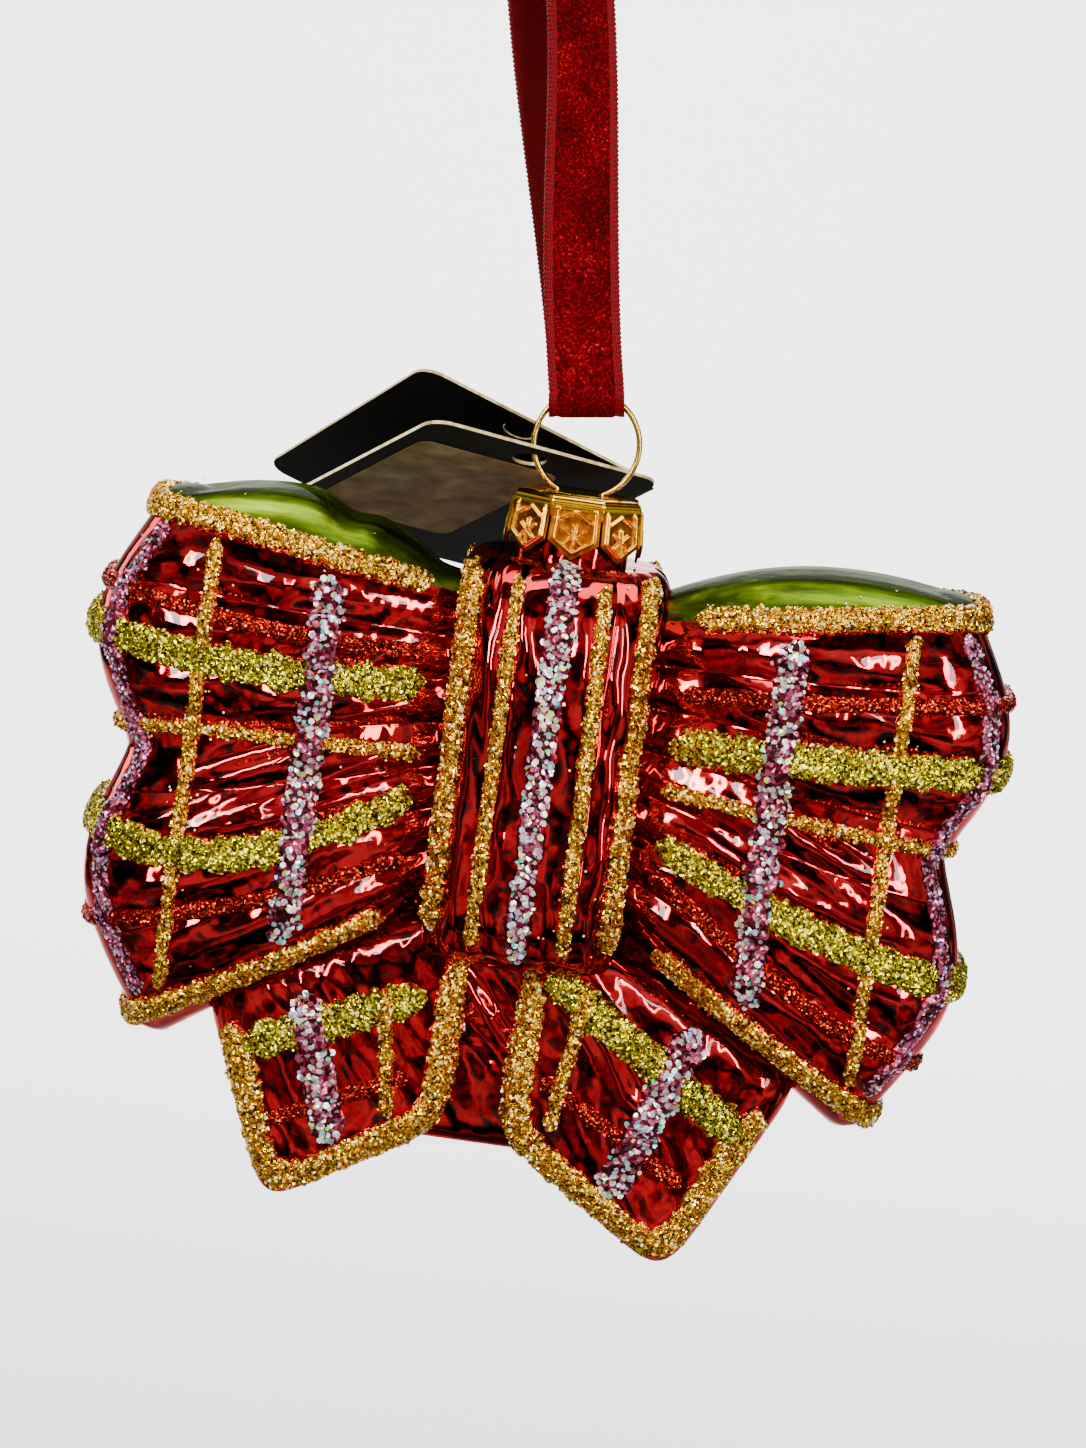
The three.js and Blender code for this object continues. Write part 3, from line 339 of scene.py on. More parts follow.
def domeHeight(side, reach):
    dome = domes[side]
    arched = 1 - ((reach - dome["middle"]) / dome["spread"]) ** 2
    crease = dome["crease"] * np.exp(-((reach - creaseAt) / creaseWidth) ** 2)
    rounded = np.logaddexp(leastDome * domeSoftness, arched * domeSoftness)
    return dome["rise"] * rounded / domeSoftness - crease


def loopPoint(side, turn, v):
    turn, v = np.broadcast_arrays(np.asarray(turn, float), np.asarray(v, float))
    reach = np.abs(np.sin(turn)) ** (2 / loop["rimPower"])
    depthShare = np.sign(np.cos(turn)) * np.abs(np.cos(turn)) ** (2 / loop["rimPower"])
    q = np.clip((2 * v - lowestShare - highestShare) / (highestShare - lowestShare), -1, 1)
    swell = lerp(loop["rootDepth"], loop["depth"], smooth(reach, 0, loop["swell"]))
    fromWaist = (v - waistShare) * rimHeight / loop["dipWidth"]
    dip = loop["dip"] * np.exp(-fromWaist ** 2) * reach
    scallop = np.where((v > 0) & (v < 1), 1 - np.abs(np.sin(np.pi * loop["flutes"] * v)), 1)
    flute = loop["flute"] * scallop * (1 + loop["fluteGrowth"] * smooth(reach, 0.5, 0.85))
    crease = loop["wrinkle"] * wrinkles(v, reach) + loop["dent"] * dents(v, reach)
    crease = crease * smooth(v, 0, 0.06) * (1 - smooth(v, 0.94, 1))  # even edges for the gold lines
    crease = crease * smooth(reach, 0.15, 0.4) * (1 - 0.75 * smooth(reach, 0.66, 0.84))
    depth = (swell - dip - flute + crease) * arch(q, loop["edgePower"])
    low = lerp(loop["rootBottom"], loop["rimBottom"][1], reach)
    high = lerp(loop["rootTop"], loop["rimTop"][1], reach)
    x = side * (loop["rootX"] + reach * (rimReach(v) - loop["rootX"]))
    overEdge = np.maximum(0, (v - 1) / (highestShare - 1))
    z = lerp(low, high, np.minimum(v, 1)) + overEdge * domeHeight(side, reach)
    return np.stack([x, -depth * depthShare, z], -1)


knot = {"halfWidth": 15, "halfDepth": 22.5, "top": 33.2, "bottom": -23, "flutes": 16, "flute": 1.0,
        "plan": 2.8, "widthPower": 8, "depthPower": 4, "neck": 7.6, "neckFrom": 28, "neckTo": 40.5,
        "wave": 0.2}


def knotSize(height):
    middle = (knot["top"] + knot["bottom"]) / 2
    t = np.clip((height - middle) / ((knot["top"] - knot["bottom"]) / 2), -1, 1)
    return knot["halfWidth"] * arch(t, knot["widthPower"]), knot["halfDepth"] * arch(t, knot["depthPower"])


def knotPoint(angle, height):
    angle, height = np.broadcast_arrays(np.asarray(angle, float), np.asarray(height, float))
    width, depth = knotSize(height)
    c, s = np.cos(angle), np.sin(angle)
    flute = knot["flute"] * (1 - np.abs(np.sin(knot["flutes"] * angle / 2)))
    flute = flute + knot["wave"] * knotWaves(angle, height) * smooth(np.abs(s), 0, 0.35)
    x = width * (1 - flute / knot["halfWidth"]) * np.sign(c) * np.abs(c) ** (2 / knot["plan"])
    y = depth * (1 - flute / knot["halfDepth"]) * np.sign(s) * np.abs(s) ** (2 / knot["plan"])
    return np.stack([x, y, height], -1)


def knotAngle(x, height):
    width, _ = knotSize(height)
    return -np.arccos(np.sign(x) * np.minimum(1, np.abs(x) / width) ** (knot["plan"] / 2))


tails = {
    "left": [(-42, -29), (-29.5, -60.6), (-6, -46), (-5, -12)],
    "right": [(42, -31), (26, -63), (0.5, -46.2), (0.5, -12)],
    "web": [(-27, -11), (-15, -48.3), (9, -48.3), (27, -11)],
    "depths": (11, 7.5), "webDepths": (6.6, 4.8), "cornerPower": 7, "edgePower": 4, "wave": 0.35,
}


def tailSize(s, t, sign=1):  # 1 on the outline of a tail, whose corners are rounded
    power = tails["cornerPower"]
    return (np.abs(s) ** power + np.abs(t) ** power) ** (sign / power)


def pillowPoint(corners, s, t, face, depths):
    s, t = np.broadcast_arrays(np.asarray(s, float), np.asarray(t, float))
    outerTop, tip, innerCorner, innerTop = corners
    down, across = (1 - t) / 2, (1 + s) / 2
    size = np.minimum(1, tailSize(s, t))
    x, z = (lerp(lerp(outerTop[k], tip[k], down), lerp(innerTop[k], innerCorner[k], down), across)
            for k in (0, 1))
    depth = lerp(*depths, down) - tails["wave"] * tailWaves(x, z) * (1 - size)
    return np.stack([x, face * depth * arch(size, tails["edgePower"]), z], -1)


def outlineShares(angle, size):
    c, s = np.cos(angle), np.sin(angle)
    reach = size * tailSize(c, s, -1)
    return reach * c, reach * s


glassGrid = {"turns": 90, "rows": 250, "barrel": (320, 100), "pillow": (160, 40), "neck": 48}


def around(count):
    return np.linspace(0, 2 * np.pi, count + 1)[:-1]


def buildGlass():
    shell = newShell()
    spread = np.linspace(0, 1, glassGrid["turns"]) ** 0.6  # closer at the rim
    front = np.arcsin(spread ** (loop["rimPower"] / 2))
    turns = np.concatenate([front, (np.pi - front)[::-1][1:]])
    ends = np.array([1, 0.9985, 0.993, 0.98, 0.96, 0.935])  # rows over the rounded edges
    middle, half = (lowestShare + highestShare) / 2, (highestShare - lowestShare) / 2
    low, high = middle - ends * half, (middle + ends * half)[::-1]
    between = np.linspace(low[-1] + 0.004, high[0] - 0.004, glassGrid["rows"])
    shares = np.concatenate([low, between, high])
    green = np.where((shares[:-1] + shares[1:]) / 2 > 1.0, 1, 0)[:, None]  # the domes are green
    for side in (-1, 1):
        points = loopPoint(side, turns[None, :], shares[:, None])
        addGrid(shell, points, np.broadcast_to(green, (len(shares) - 1, len(turns) - 1)), flip=side < 0)
    columns, rows = glassGrid["barrel"]
    level = np.sin(np.linspace(-1.4, 1.36, rows))
    heights = (knot["top"] + knot["bottom"]) / 2 + level * (knot["top"] - knot["bottom"]) / 2
    barrel = knotPoint(around(columns)[None, :], heights[:, None])
    addGrid(shell, barrel, across=True)
    closeEnds(shell, barrel)
    columns, rows = glassGrid["pillow"]
    sizes = np.sin(np.linspace(0, np.pi / 2, rows))[::-1]
    s, t = outlineShares(around(columns)[None, :], sizes[:, None])
    for name, depths in (("left", "depths"), ("right", "depths"), ("web", "webDepths")):
        for face in (-1, 1):
            pillow = pillowPoint(tails[name], s, t, face, tails[depths])
            addGrid(shell, pillow, across=True, flip=face > 0)
    turn = around(glassGrid["neck"])
    x, y = knot["neck"] * np.cos(turn), knot["neck"] * np.sin(turn)
    neck = [np.stack([x, y, np.full_like(x, z)], -1) for z in (knot["neckFrom"], knot["neckTo"])]
    addGrid(shell, np.stack(neck), across=True)
    makePiece("blown_glass_bow", shell, [redLacquer, greenLacquer], "glass", ["glass_body"])


buildGlass()
print("blown glass built")


# Glitter lines, laid over the glass with loose grains on top

lineKinds = {
    "gold": {"materials": [goldGlitter, goldPaintedGlint], "grain": 0.25, "sides": 5, "density": 6.5,
             "sparks": 0.14, "spread": 0.55, "bigger": 1.15, "strays": 0.22},
    "olive": {"materials": [oliveGlitter, olivePaintedGlint], "grain": 0.25, "sides": 5, "density": 6.5,
              "sparks": 0.1, "spread": 0.55, "bigger": 1.15},
    "red": {"materials": [redGlitter, redPaintedGlint], "grain": 0.2, "sides": 4, "density": 6.5,
            "sparks": 0.12, "spread": 0.5},
    "silver": {"materials": [flakeBed, silverGlitter], "grain": 0.46, "sides": 6, "density": 1.25,
               "sparks": 1, "spread": 0.3, "bed": 0.5},
    "lilac": {"materials": [flakeBed, lilacGlitter], "grain": 0.27, "sides": 6, "density": 2.6,
              "sparks": 1, "spread": 0.4, "bed": 0.5},
}
bead = {
    "step": 0.45, "columns": 11, "wobble": 0.13, "wobbleRate": 1.6, "taper": 2.2, "blunt": 0.06, "power": 2.4,
    "grit": 0.09, "sunk": 0.35, "sizes": (0.65, 1.15), "lift": (0.02, 0.2), "strayOff": (0.55, 1.5),
    "straySize": 0.7,
}


def resampled(surface, path, spacing):  # rows of first place, second place and raise, at even steps
    path = np.asarray(path, float)
    points = surface(path[:, 0], path[:, 1])
    lengths = np.concatenate([[0], np.cumsum(np.linalg.norm(np.diff(points, axis=0), axis=1))])
    steps = np.linspace(0, lengths[-1], max(4, int(lengths[-1] / spacing)))
    return np.stack([np.interp(steps, lengths, path[:, k]) for k in range(3)], -1), lengths[-1]


def skinNormal(surface, a, b, step=1e-3):
    return unit(np.cross(surface(a + step, b) - surface(a - step, b),
                         surface(a, b + step) - surface(a, b - step)))


def grainCorners(lean, sides):  # corners of flat grains square to their leans, about their own centres
    one = unit(np.cross(lean, rng.normal(0, 1, lean.shape)))
    two = np.cross(lean, one)
    corner = (2 * np.pi * np.arange(sides) / sides)[None, :, None]
    return np.cos(corner) * one[:, None] + np.sin(corner) * two[:, None]


def addGlitterLine(node, surface, path, across, line, outward):
    look, width = lineKinds[line["kind"]], line["width"]
    path, length = resampled(surface, path, bead["step"])
    first, second, raised = path.T
    step = 1e-3
    here = surface(first, second)
    span = surface(first + step * across[0], second + step * across[1])
    back = surface(first - step * across[0], second - step * across[1])
    perUnit = np.linalg.norm(span - back, axis=1) / (2 * step)
    places, middle = np.linspace(-1, 1, bead["columns"]), bead["columns"] // 2
    index = np.arange(len(first))
    uneven = ripple(len(node) * 7, 5, (0.5, 2.4), (0, 1))
    edge = 1 + bead["wobble"] * uneven(index * bead["step"] * bead["wobbleRate"], 0)
    fromEnd = np.minimum(index, index[::-1]) * bead["step"] / width
    ends = np.minimum(1, np.sqrt(fromEnd * bead["taper"] + bead["blunt"]))
    reachOut = (width / 2 / perUnit * edge * ends)[:, None] * places[None, :]
    a, b = first[:, None] + reachOut * across[0], second[:, None] + reachOut * across[1]
    base = surface(a, b)
    normal = skinNormal(surface, a, b)
    facing = np.sign(np.sum(normal[:, middle] * outward(here), -1))
    facing[facing == 0] = 1
    normal = normal * facing[:, None, None]
    normal = unit(0.5 * normal + 0.5 * normal[:, middle:middle + 1])
    arched = arch(places * 0.985, bead["power"])[None, :] * (0.75 + 0.25 * ends[:, None])
    mound = line["height"] * look.get("bed", 1) * arched
    mound = mound + raised[:, None] * (1 - np.abs(places[None, :]) ** 6)
    grit = rng.normal(0, bead["grit"], mound.shape)
    grit[:, [0, -1]] = 0
    top = base + normal * (mound + grit)[..., None]
    under = base - normal * bead["sunk"]
    shell = newShell()
    rows = np.concatenate([top, under[:, ::-1]], 1)
    addGrid(shell, rows, across=True)
    closeEnds(shell, rows, (1, -1))
    count, sides = int(length * width * look["density"]), look["sides"]
    r = rng.integers(0, top.shape[0] - 1, count)
    c = rng.integers(0, top.shape[1] - 1, count)
    mix = rng.uniform(0, 1, (count, 2))
    near = lerp(top[r, c], top[r + 1, c], mix[:, :1])
    far = lerp(top[r, c + 1], top[r + 1, c + 1], mix[:, :1])
    lean = unit(normal[r, c] + rng.normal(0, look["spread"], (count, 3)))
    corners = grainCorners(lean, sides)
    size = look["grain"] * rng.uniform(*bead["sizes"], (count, 1, 1))
    # on gold, olive and red lines the first grains, made a little bigger, take the paler material as painted
    # glints; on silver and lilac lines all flakes take the flake material
    bright = int(count * look["sparks"])
    size[:bright] *= look.get("bigger", 1)
    lift = rng.uniform(*bead["lift"], (count, 1, 1))
    flakes = lerp(near, far, mix[:, 1:])[:, None] + lean[:, None] * lift + size * corners
    stray = 0 if "tail" in node else int(length * look.get("strays", 0))
    if stray:  # loose grains stuck on the lacquer beside the line
        r = rng.integers(0, len(first), stray)
        off = rng.choice([-1, 1], stray) * rng.uniform(*bead["strayOff"], stray) * width / perUnit[r]
        a, b = first[r] + off * across[0], second[r] + off * across[1]
        spot = surface(a, b)
        lean = skinNormal(surface, a, b)
        lean = lean * np.sign(np.sum(lean * outward(spot), -1))[:, None]
        lean = unit(lean + rng.normal(0, 0.2, (stray, 3)))
        size = bead["straySize"] * look["grain"]
        specks = spot[:, None] + lean[:, None] * 0.06 + size * grainCorners(lean, sides)
        flakes = np.concatenate([specks, flakes])
    for some, slot in ((flakes[bright:], 0), (flakes[:bright], 1)):
        addFaces(shell, some, [list(range(i * sides, (i + 1) * sides)) for i in range(len(some))], slot)
    makePiece("glitter_" + node, shell, look["materials"], "glass", [node],
              False)


def loopReach(x):  # of a place on the loop's top edge
    return (x - loop["rootX"]) / (loop["rimTop"][0] - loop["rootX"])


def bandShare(band, reach):  # a parabola through the band's three places
    start, half, rim = band["at"]
    first = loopReach(bandsFrom)
    t, m = (reach - first) / (1 - first), (bandsHalf - first) / (1 - first)
    return lerp(start, rim, t) + (half - lerp(start, rim, m)) / (m * (1 - m)) * t * (1 - t)


def lineOf(name, kind, width, **more):
    rise = 1.25 if width > 3 else 0.85
    return {"name": name, "kind": kind, "width": width, "height": rise, **more}


crossing = {"gap": 0.3, "ramp": 1.4, "rise": 0.9}  # how an upright climbs over the bands
bandsFrom, bandsHalf = 18.5, 0.59  # where the first two places of a band lie
bandKinds = [
    lineOf("gold_edge_top", "gold", 3.6, start=18),
    lineOf("red_line_upper", "red", 2.2, start=16.2),
    lineOf("olive_band_upper", "olive", 5, start=16.2),
    lineOf("gold_line_middle", "gold", 2, start=16.2),
    lineOf("olive_band_lower", "olive", 5, start=16.2),
    lineOf("red_line_lower", "red", 2.2, start=16.2),
    lineOf("gold_edge_bottom", "gold", 3.8, start=19.8),
]
bandPlaces = {  # shares of the loop's height beside the knot, half way out and at the rim
    "left": [(1, 1, 1), (0.797, 0.808, 0.835), (0.695, 0.71, 0.749), (0.49, 0.55, 0.562),
             (0.32, 0.268, 0.383), (0.145, 0.151, 0.182), (0, 0, 0)],
    "right": [(1, 1, 1), (0.786, 0.817, 0.835), (0.627, 0.674, 0.697), (0.481, 0.521, 0.537),
              (0.295, 0.272, 0.284), (0.186, 0.122, 0.118), (0, 0, 0)],
}
uprights = [lineOf("silver_upright", "silver", 4.6, x=31, both=True),
            lineOf("gold_upright", "gold", 2, x=46.5, both=False)]
rimLine = lineOf("rim_line", "lilac", 2.8, reach=0.94)


def outOfLoop(points):
    return np.stack([np.sign(points[:, 0]) * 0.5, np.sign(points[:, 1]), 0 * points[:, 0]], -1)


def outOfFace(points):
    return np.stack([0 * points[:, 0], np.sign(points[:, 1]), 0 * points[:, 0]], -1)


def stepOver(places, crossings, ramp):  # the raise of a line that crosses others
    raised = np.zeros_like(places)
    for at, over, top in crossings:
        raised = np.maximum(raised, top * np.clip((over + ramp - np.abs(places - at)) / ramp, 0, 1))
    return raised


def buildLoopLines():
    for sideName, side in (("left", -1), ("right", 1)):
        surface = lambda turn, v, side=side: loopPoint(side, turn, v)
        bands = [{**kind, "at": at} for kind, at in zip(bandKinds, bandPlaces[sideName])]
        for band in bands:
            first = loopReach(band["start"])
            turns = np.linspace(math.asin(first ** 2), np.pi - math.asin(first ** 2), 1200)
            reach = np.abs(np.sin(turns)) ** 0.5
            path = np.stack([turns, bandShare(band, reach), 0 * turns], -1)
            addGlitterLine(f"{sideName}_{band['name']}", surface, path, (0, 1), band, outOfLoop)

        def climb(name, reachAt, behind, line):
            reach = float(reachAt(np.array(waistShare)))
            low = lerp(loop["rootBottom"], loop["rimBottom"][1], reach)
            high = lerp(loop["rootTop"], loop["rimTop"][1], reach)
            crossings = []
            for band in bands[1:-1]:
                if band["kind"] != "olive" or line["kind"] != "gold":  # gold runs under olive
                    at = np.array(waistShare)
                    for _ in range(4):
                        at = bandShare(band, reachAt(at))
                    over = (band["width"] / 2 + crossing["gap"]) / (high - low)
                    crossings.append((float(at), over, band["height"] * crossing["rise"]))
            clear = (bandKinds[0]["width"] / 2 + 0.5) / (high - low)  # ends short of the gold edges
            v = np.linspace(clear, 1 - clear, 700)
            turn = np.arcsin(reachAt(v) ** 2)
            raised = stepOver(v, crossings, crossing["ramp"] / (high - low))
            path = np.stack([np.pi - turn if behind else turn, v, raised], -1)
            addGlitterLine(f"{sideName}_{name}", surface, path, (1, 0), line, outOfLoop)

        for line in uprights:
            reachAt = lambda v, x=line["x"]: (x - loop["rootX"]) / (rimReach(v) - loop["rootX"])
            climb(line["name"], reachAt, False, line)
            if line["both"]:
                climb("back_" + line["name"], reachAt, True, line)
        climb("rim_line", lambda v: rimLine["reach"] + 0 * v, False, rimLine)


knotLines = [
    lineOf("knot_gold_left", "gold", 4, x=(-12.5, -11.9), ends=(31.6, -17.5), both=True),
    lineOf("knot_thin_gold_left", "gold", 2, x=(-6.4, -6.2), ends=(30.6, -18.5), both=False),
    lineOf("knot_silver", "silver", 4.6, x=(-0.6, -0.2), ends=(32.5, -20), both=True),
    lineOf("knot_thin_gold_right", "gold", 2, x=(5.2, 6.2), ends=(30.6, -18.5), both=False),
    lineOf("knot_gold_right", "gold", 4, x=(11.3, 12.1), ends=(31.6, -17.5), both=True),
]


def buildKnotLines():
    for line in knotLines:
        for prefix, face in (("", 1), ("back_", -1))[:2 if line["both"] else 1]:
            def surface(angle, height, face=face):
                point = knotPoint(angle, height)
                point[..., 1] *= face
                return point
            share = np.linspace(0, 1, 500)
            height = lerp(*line["ends"], share)
            path = np.stack([knotAngle(lerp(*line["x"], share), height), height, 0 * share], -1)
            addGlitterLine(prefix + line["name"], surface, path, (1, 0), line, outOfFace)


tailEdge = lineOf("tail_gold_edge", "gold", 4.5, angles=(29, -212), size=0.84)
levelKinds = [lineOf("tail_olive", "olive", 5, both=True), lineOf("tail_red", "red", 2.2, both=False)]
uprightKinds = [lineOf("tail_silver", "silver", 4.8, both=True),
                lineOf("tail_thin_gold", "gold", 2, both=False)]
levelEnds = {
    "left": [((-34.2, -37.7), (-11.2, -27.6)), ((-30, -47.8), (-12, -39.2))],
    "right": [((5.2, -22.6), (34.4, -41.6)), ((6, -37.1), (26.4, -48.8))],
}
uprightEnds = {
    "left": [((-27.3, -29.6), (-21.2, -49.8)), ((-16.6, -27.6), (-14.2, -45))],
    "right": [((25.6, -27.2), (16.8, -51.8)), ((10.4, -23.6), (7.8, -43.8))],
}


def pillowShares(corners, x, z):  # places s and t of a point in front view
    s, t = np.zeros_like(x), np.zeros_like(x)
    step = 1e-4
    for _ in range(12):
        here = pillowPoint(corners, s, t, 1, tails["depths"])
        overS = (pillowPoint(corners, s + step, t, 1, tails["depths"]) - here) / step
        overT = (pillowPoint(corners, s, t + step, 1, tails["depths"]) - here) / step
        dx, dz = x - here[..., 0], z - here[..., 2]
        scale = overS[..., 0] * overT[..., 2] - overT[..., 0] * overS[..., 2]
        s = s + (dx * overT[..., 2] - dz * overT[..., 0]) / scale
        t = t + (dz * overS[..., 0] - dx * overS[..., 2]) / scale
    return s, t


def buildTailLines():
    for sideName in ("left", "right"):
        corners = tails[sideName]
        for start, face in ((sideName + "_", -1), (sideName + "_back_", 1)):
            def rim(angle, size, face=face):
                return pillowPoint(corners, *outlineShares(angle, size), face, tails["depths"])

            def flat(x, z, face=face):
                x, z = np.broadcast_arrays(x, z)
                return pillowPoint(corners, *pillowShares(corners, x, z), face, tails["depths"])

            def straight(line, crossed):
                (x0, z0), (x1, z1) = line["ends"]
                length = math.hypot(x1 - x0, z1 - z0)
                ux, uz = (x1 - x0) / length, (z1 - z0) / length
                crossings = []
                for other in crossed:
                    (a0, b0), (a1, b1) = other["ends"]
                    vx, vz = a1 - a0, b1 - b0
                    slant = ux * vz - uz * vx
                    at = ((a0 - x0) * vz - (b0 - z0) * vx) / slant
                    over = (other["width"] / 2 + crossing["gap"]) / abs(slant / math.hypot(vx, vz))
                    crossings.append((at, over, other["height"] * crossing["rise"]))
                place = np.linspace(0, length, 300)
                raised = stepOver(place, crossings, crossing["ramp"])
                path = np.stack([x0 + ux * place, z0 + uz * place, raised], -1)
                addGlitterLine(start + line["name"], flat, path, (uz, -ux), line, outOfFace)

            def shown(kinds, ends):
                lines = [{**kind, "ends": place} for kind, place in zip(kinds, ends[sideName])]
                return [line for line in lines if line["both"] or face < 0]

            angles = np.radians(np.linspace(*tailEdge["angles"], 900))
            path = np.stack([angles, np.full_like(angles, tailEdge["size"]), 0 * angles], -1)
            addGlitterLine(start + tailEdge["name"], rim, path, (0, 1), tailEdge, outOfFace)
            level = shown(levelKinds, levelEnds)
            for line in level:
                straight(line, [])
            for line in shown(uprightKinds, uprightEnds):
                straight(line, level)


buildLoopLines()
buildKnotLines()
buildTailLines()
print("glitter lines laid")


# Crown cap, wire, ribbon and tag

cap = {
    "top": 41.4, "shoulder": 40.1, "flat": 8.55, "flare": 0.45, "lobes": 8, "corner": 35.3, "tip": 32.95,
    "slitTop": 38.6, "slit": 0.3, "sheet": 0.35, "legHole": 0.7,
    "crown": ((5.6, 41.4, 0), (6.6, 41.4, 0.4), (7.6, 41.34, 0.85), (8.1, 41.14, 0.95), (8.4, 40.75, 1),
              (8.56, 40.1, 1)),  # radius, height and how far it is from round to eight-sided
}
stamp = {
    "border": (0.34, 0.75, 0.17), "rim": (0.3, 0.7), "panel": (0.16, 0.8, 1.05),
    "chevron": ((-2.1, 2.0), (0, 0.8), (2.1, 2.0)), "chevronRise": 0.46, "starRise": 0.55, "line": 0.2,
    "starAt": 4.1, "starArms": (0, 56, 124, 180, 236, 304), "starReach": 1.5, "starGap": 0.55,
    "hollow": -0.07,
}


def segmentRidge(x, z, a, b, width):  # a rounded ridge from a to b
    ax, az = a
    dx, dz = b[0] - ax, b[1] - az
    t = np.clip(((x - ax) * dx + (z - az) * dz) / (dx * dx + dz * dz), 0, 1)
    away = np.hypot(x - ax - t * dx, z - az - t * dz)
    return np.exp(-(away / width) ** 2)


def lobeRelief(x, z, halfLow, cornerDrop, tipDrop):  # height of the stamping, z down from the shoulder
    slope = (tipDrop - cornerDrop) / halfLow
    foot = (tipDrop - np.abs(x) * slope - z) / np.hypot(1, slope)
    inset = np.minimum(halfLow - np.abs(x), foot)
    rise, at, width = stamp["border"]
    border = rise * np.exp(-((inset - at) / width) ** 2)
    border = border - stamp["rim"][0] * (1 - smooth(inset, 0, stamp["rim"][1]))
    height = border - stamp["panel"][0] * smooth(inset, *stamp["panel"][1:])
    for a, b in zip(stamp["chevron"], stamp["chevron"][1:]):
        ridge = segmentRidge(x, z, a, b, stamp["line"])
        height = np.maximum(height, stamp["chevronRise"] * ridge - 0.1)
    for turn in stamp["starArms"]:
        c, s = math.cos(math.radians(turn)), math.sin(math.radians(turn))
        near, far = stamp["starGap"] if turn % 180 == 0 else 0.1, stamp["starReach"]
        a, b = ((r * s, stamp["starAt"] - r * c) for r in (near, far))
        height = np.maximum(height, stamp["starRise"] * segmentRidge(x, z, a, b, stamp["line"]) - 0.12)
    return height


def circle(cx, cy, radius, count):
    return [(cx + radius * math.cos(a), cy + radius * math.sin(a)) for a in around(count)]


def buildCap():
    shell = newShell()
    a, b = np.linspace(-1, 1, 97)[None, :], np.linspace(0, 1, 113)[:, None]
    cornerDrop, tipDrop = cap["shoulder"] - cap["corner"], cap["shoulder"] - cap["tip"]
    slitDrop = cap["shoulder"] - cap["slitTop"]
    drop = b * (cornerDrop + (tipDrop - cornerDrop) * (1 - np.abs(a)))
    flat = cap["flat"] + cap["flare"] * np.clip(drop / cornerDrop, 0, 1)
    full = flat * math.tan(math.pi / cap["lobes"])
    x = a * (full - cap["slit"] * smooth(drop, slitDrop - 0.3, slitDrop + 0.3))
    relief = lobeRelief(x, drop, full - cap["slit"], cornerDrop, tipDrop) * smooth(drop, 0.1, 0.8)
    y = -(flat + relief)
    height = (relief[:-1, :-1] + relief[1:, :-1] + relief[:-1, 1:] + relief[1:, 1:]) / 4
    for turn in np.arange(cap["lobes"]) * 2 * math.pi / cap["lobes"]:
        c, s = math.cos(turn), math.sin(turn)
        points = np.stack([x * c - y * s, x * s + y * c, cap["shoulder"] - drop], -1)
        # relief sunk below the hollow depth takes the darker gold, a painted shade
        addGrid(shell, points, np.where(height < stamp["hollow"], 1, 0), flip=True)
    angles, step = around(192), math.pi / 4
    octagon = 1 / np.cos((angles + step * 2 + step / 2) % step - step / 2)
    rows = []
    for radius, level, square in cap["crown"]:
        r = radius * lerp(1, octagon, square)
        rows.append(np.stack([r * np.cos(angles), r * np.sin(angles), np.full_like(angles, level)], -1))
    addGrid(shell, np.stack(rows), across=True, flip=True)
    legHoles = [circle(side * wire["legs"], 0, cap["legHole"], 24) for side in (-1, 1)]
    places, faces, _ = flatCard([(p[0], p[1]) for p in rows[0]], legHoles, 1.1)
    addFaces(shell, np.column_stack([places, np.full(len(places), cap["top"])]), faces)
    # thin drawn brass, gold plated and stamped: plain gold where it stands up, rougher in its hollows and
    # painted a darker gold there as painted shade, with rubs of 1.1 mm, coarser than real ones so that they
    # show
    bright = mottled("bright_gold_plated_brass", {"Metallic": 1.0, "Roughness": 0.17}, 900.0, 4.0,
                     [(0.35, "#FFAE00"), (0.55, "#FFC008"), (0.75, "#FFD42C")], 0.12, 0.0002)
    hollow = mottled("gold_plated_brass_painted_hollow_shade", {"Metallic": 1.0, "Roughness": 0.3}, 900.0, 4.0,
                     [(0.35, "#6E3400"), (0.55, "#9A4E00"), (0.75, "#CC7800")], 0.12, 0.0002)
    piece = makePiece("stamped_crown_cap", shell, [bright, hollow], "cap", ["crown_cap"])
    thick = piece.modifiers.new("sheet", "SOLIDIFY")
    thick.thickness = cap["sheet"] * 0.001
    thick.offset = -1


wire = {"radius": 0.4, "ring": 7.1, "legs": 3.1, "legEnd": 22.4, "sides": 16}


def tubeAlong(points, radius, sides):
    tangent = unit(np.gradient(points, axis=0))
    one = np.broadcast_to(np.array([0.0, 1, 0]), points.shape)
    two = np.cross(tangent, one)
    turn = (2 * np.pi * np.arange(sides) / sides)[None, :, None]
    return points[:, None] + radius * (np.cos(turn) * one[:, None] + np.sin(turn) * two[:, None])


def buildWire():
    bottom = math.acos(wire["legs"] / wire["ring"])
    arc = np.linspace(-bottom, math.pi + bottom, 170)
    ring = np.stack([wire["ring"] * np.cos(arc), 0 * arc, ringCentre + wire["ring"] * np.sin(arc)], -1)
    legs = np.linspace(wire["legEnd"], ring[0, 2] - 0.25, 16)
    right = np.stack([np.full_like(legs, wire["legs"]), 0 * legs, legs], -1)
    left = right[::-1] * np.array([-1, 1, 1])
    shell = newShell()
    rows = tubeAlong(np.concatenate([right, ring, left]), wire["radius"], wire["sides"])
    addGrid(shell, rows, across=True)
    closeEnds(shell, rows)
    # drawn brass spring wire, a little duller in places of 0.4 mm
    brass = mottled("drawn_brass_wire", {"Metallic": 1.0, "Roughness": 0.22}, 2500.0, 3.0,
                    [(0.3, "#C08E34"), (0.55, "#D0A244"), (0.8, "#DEB45A")], 0.01)
    makePiece("brass_wire_ring", shell, [brass], "hanger", ["wire_hanger"])


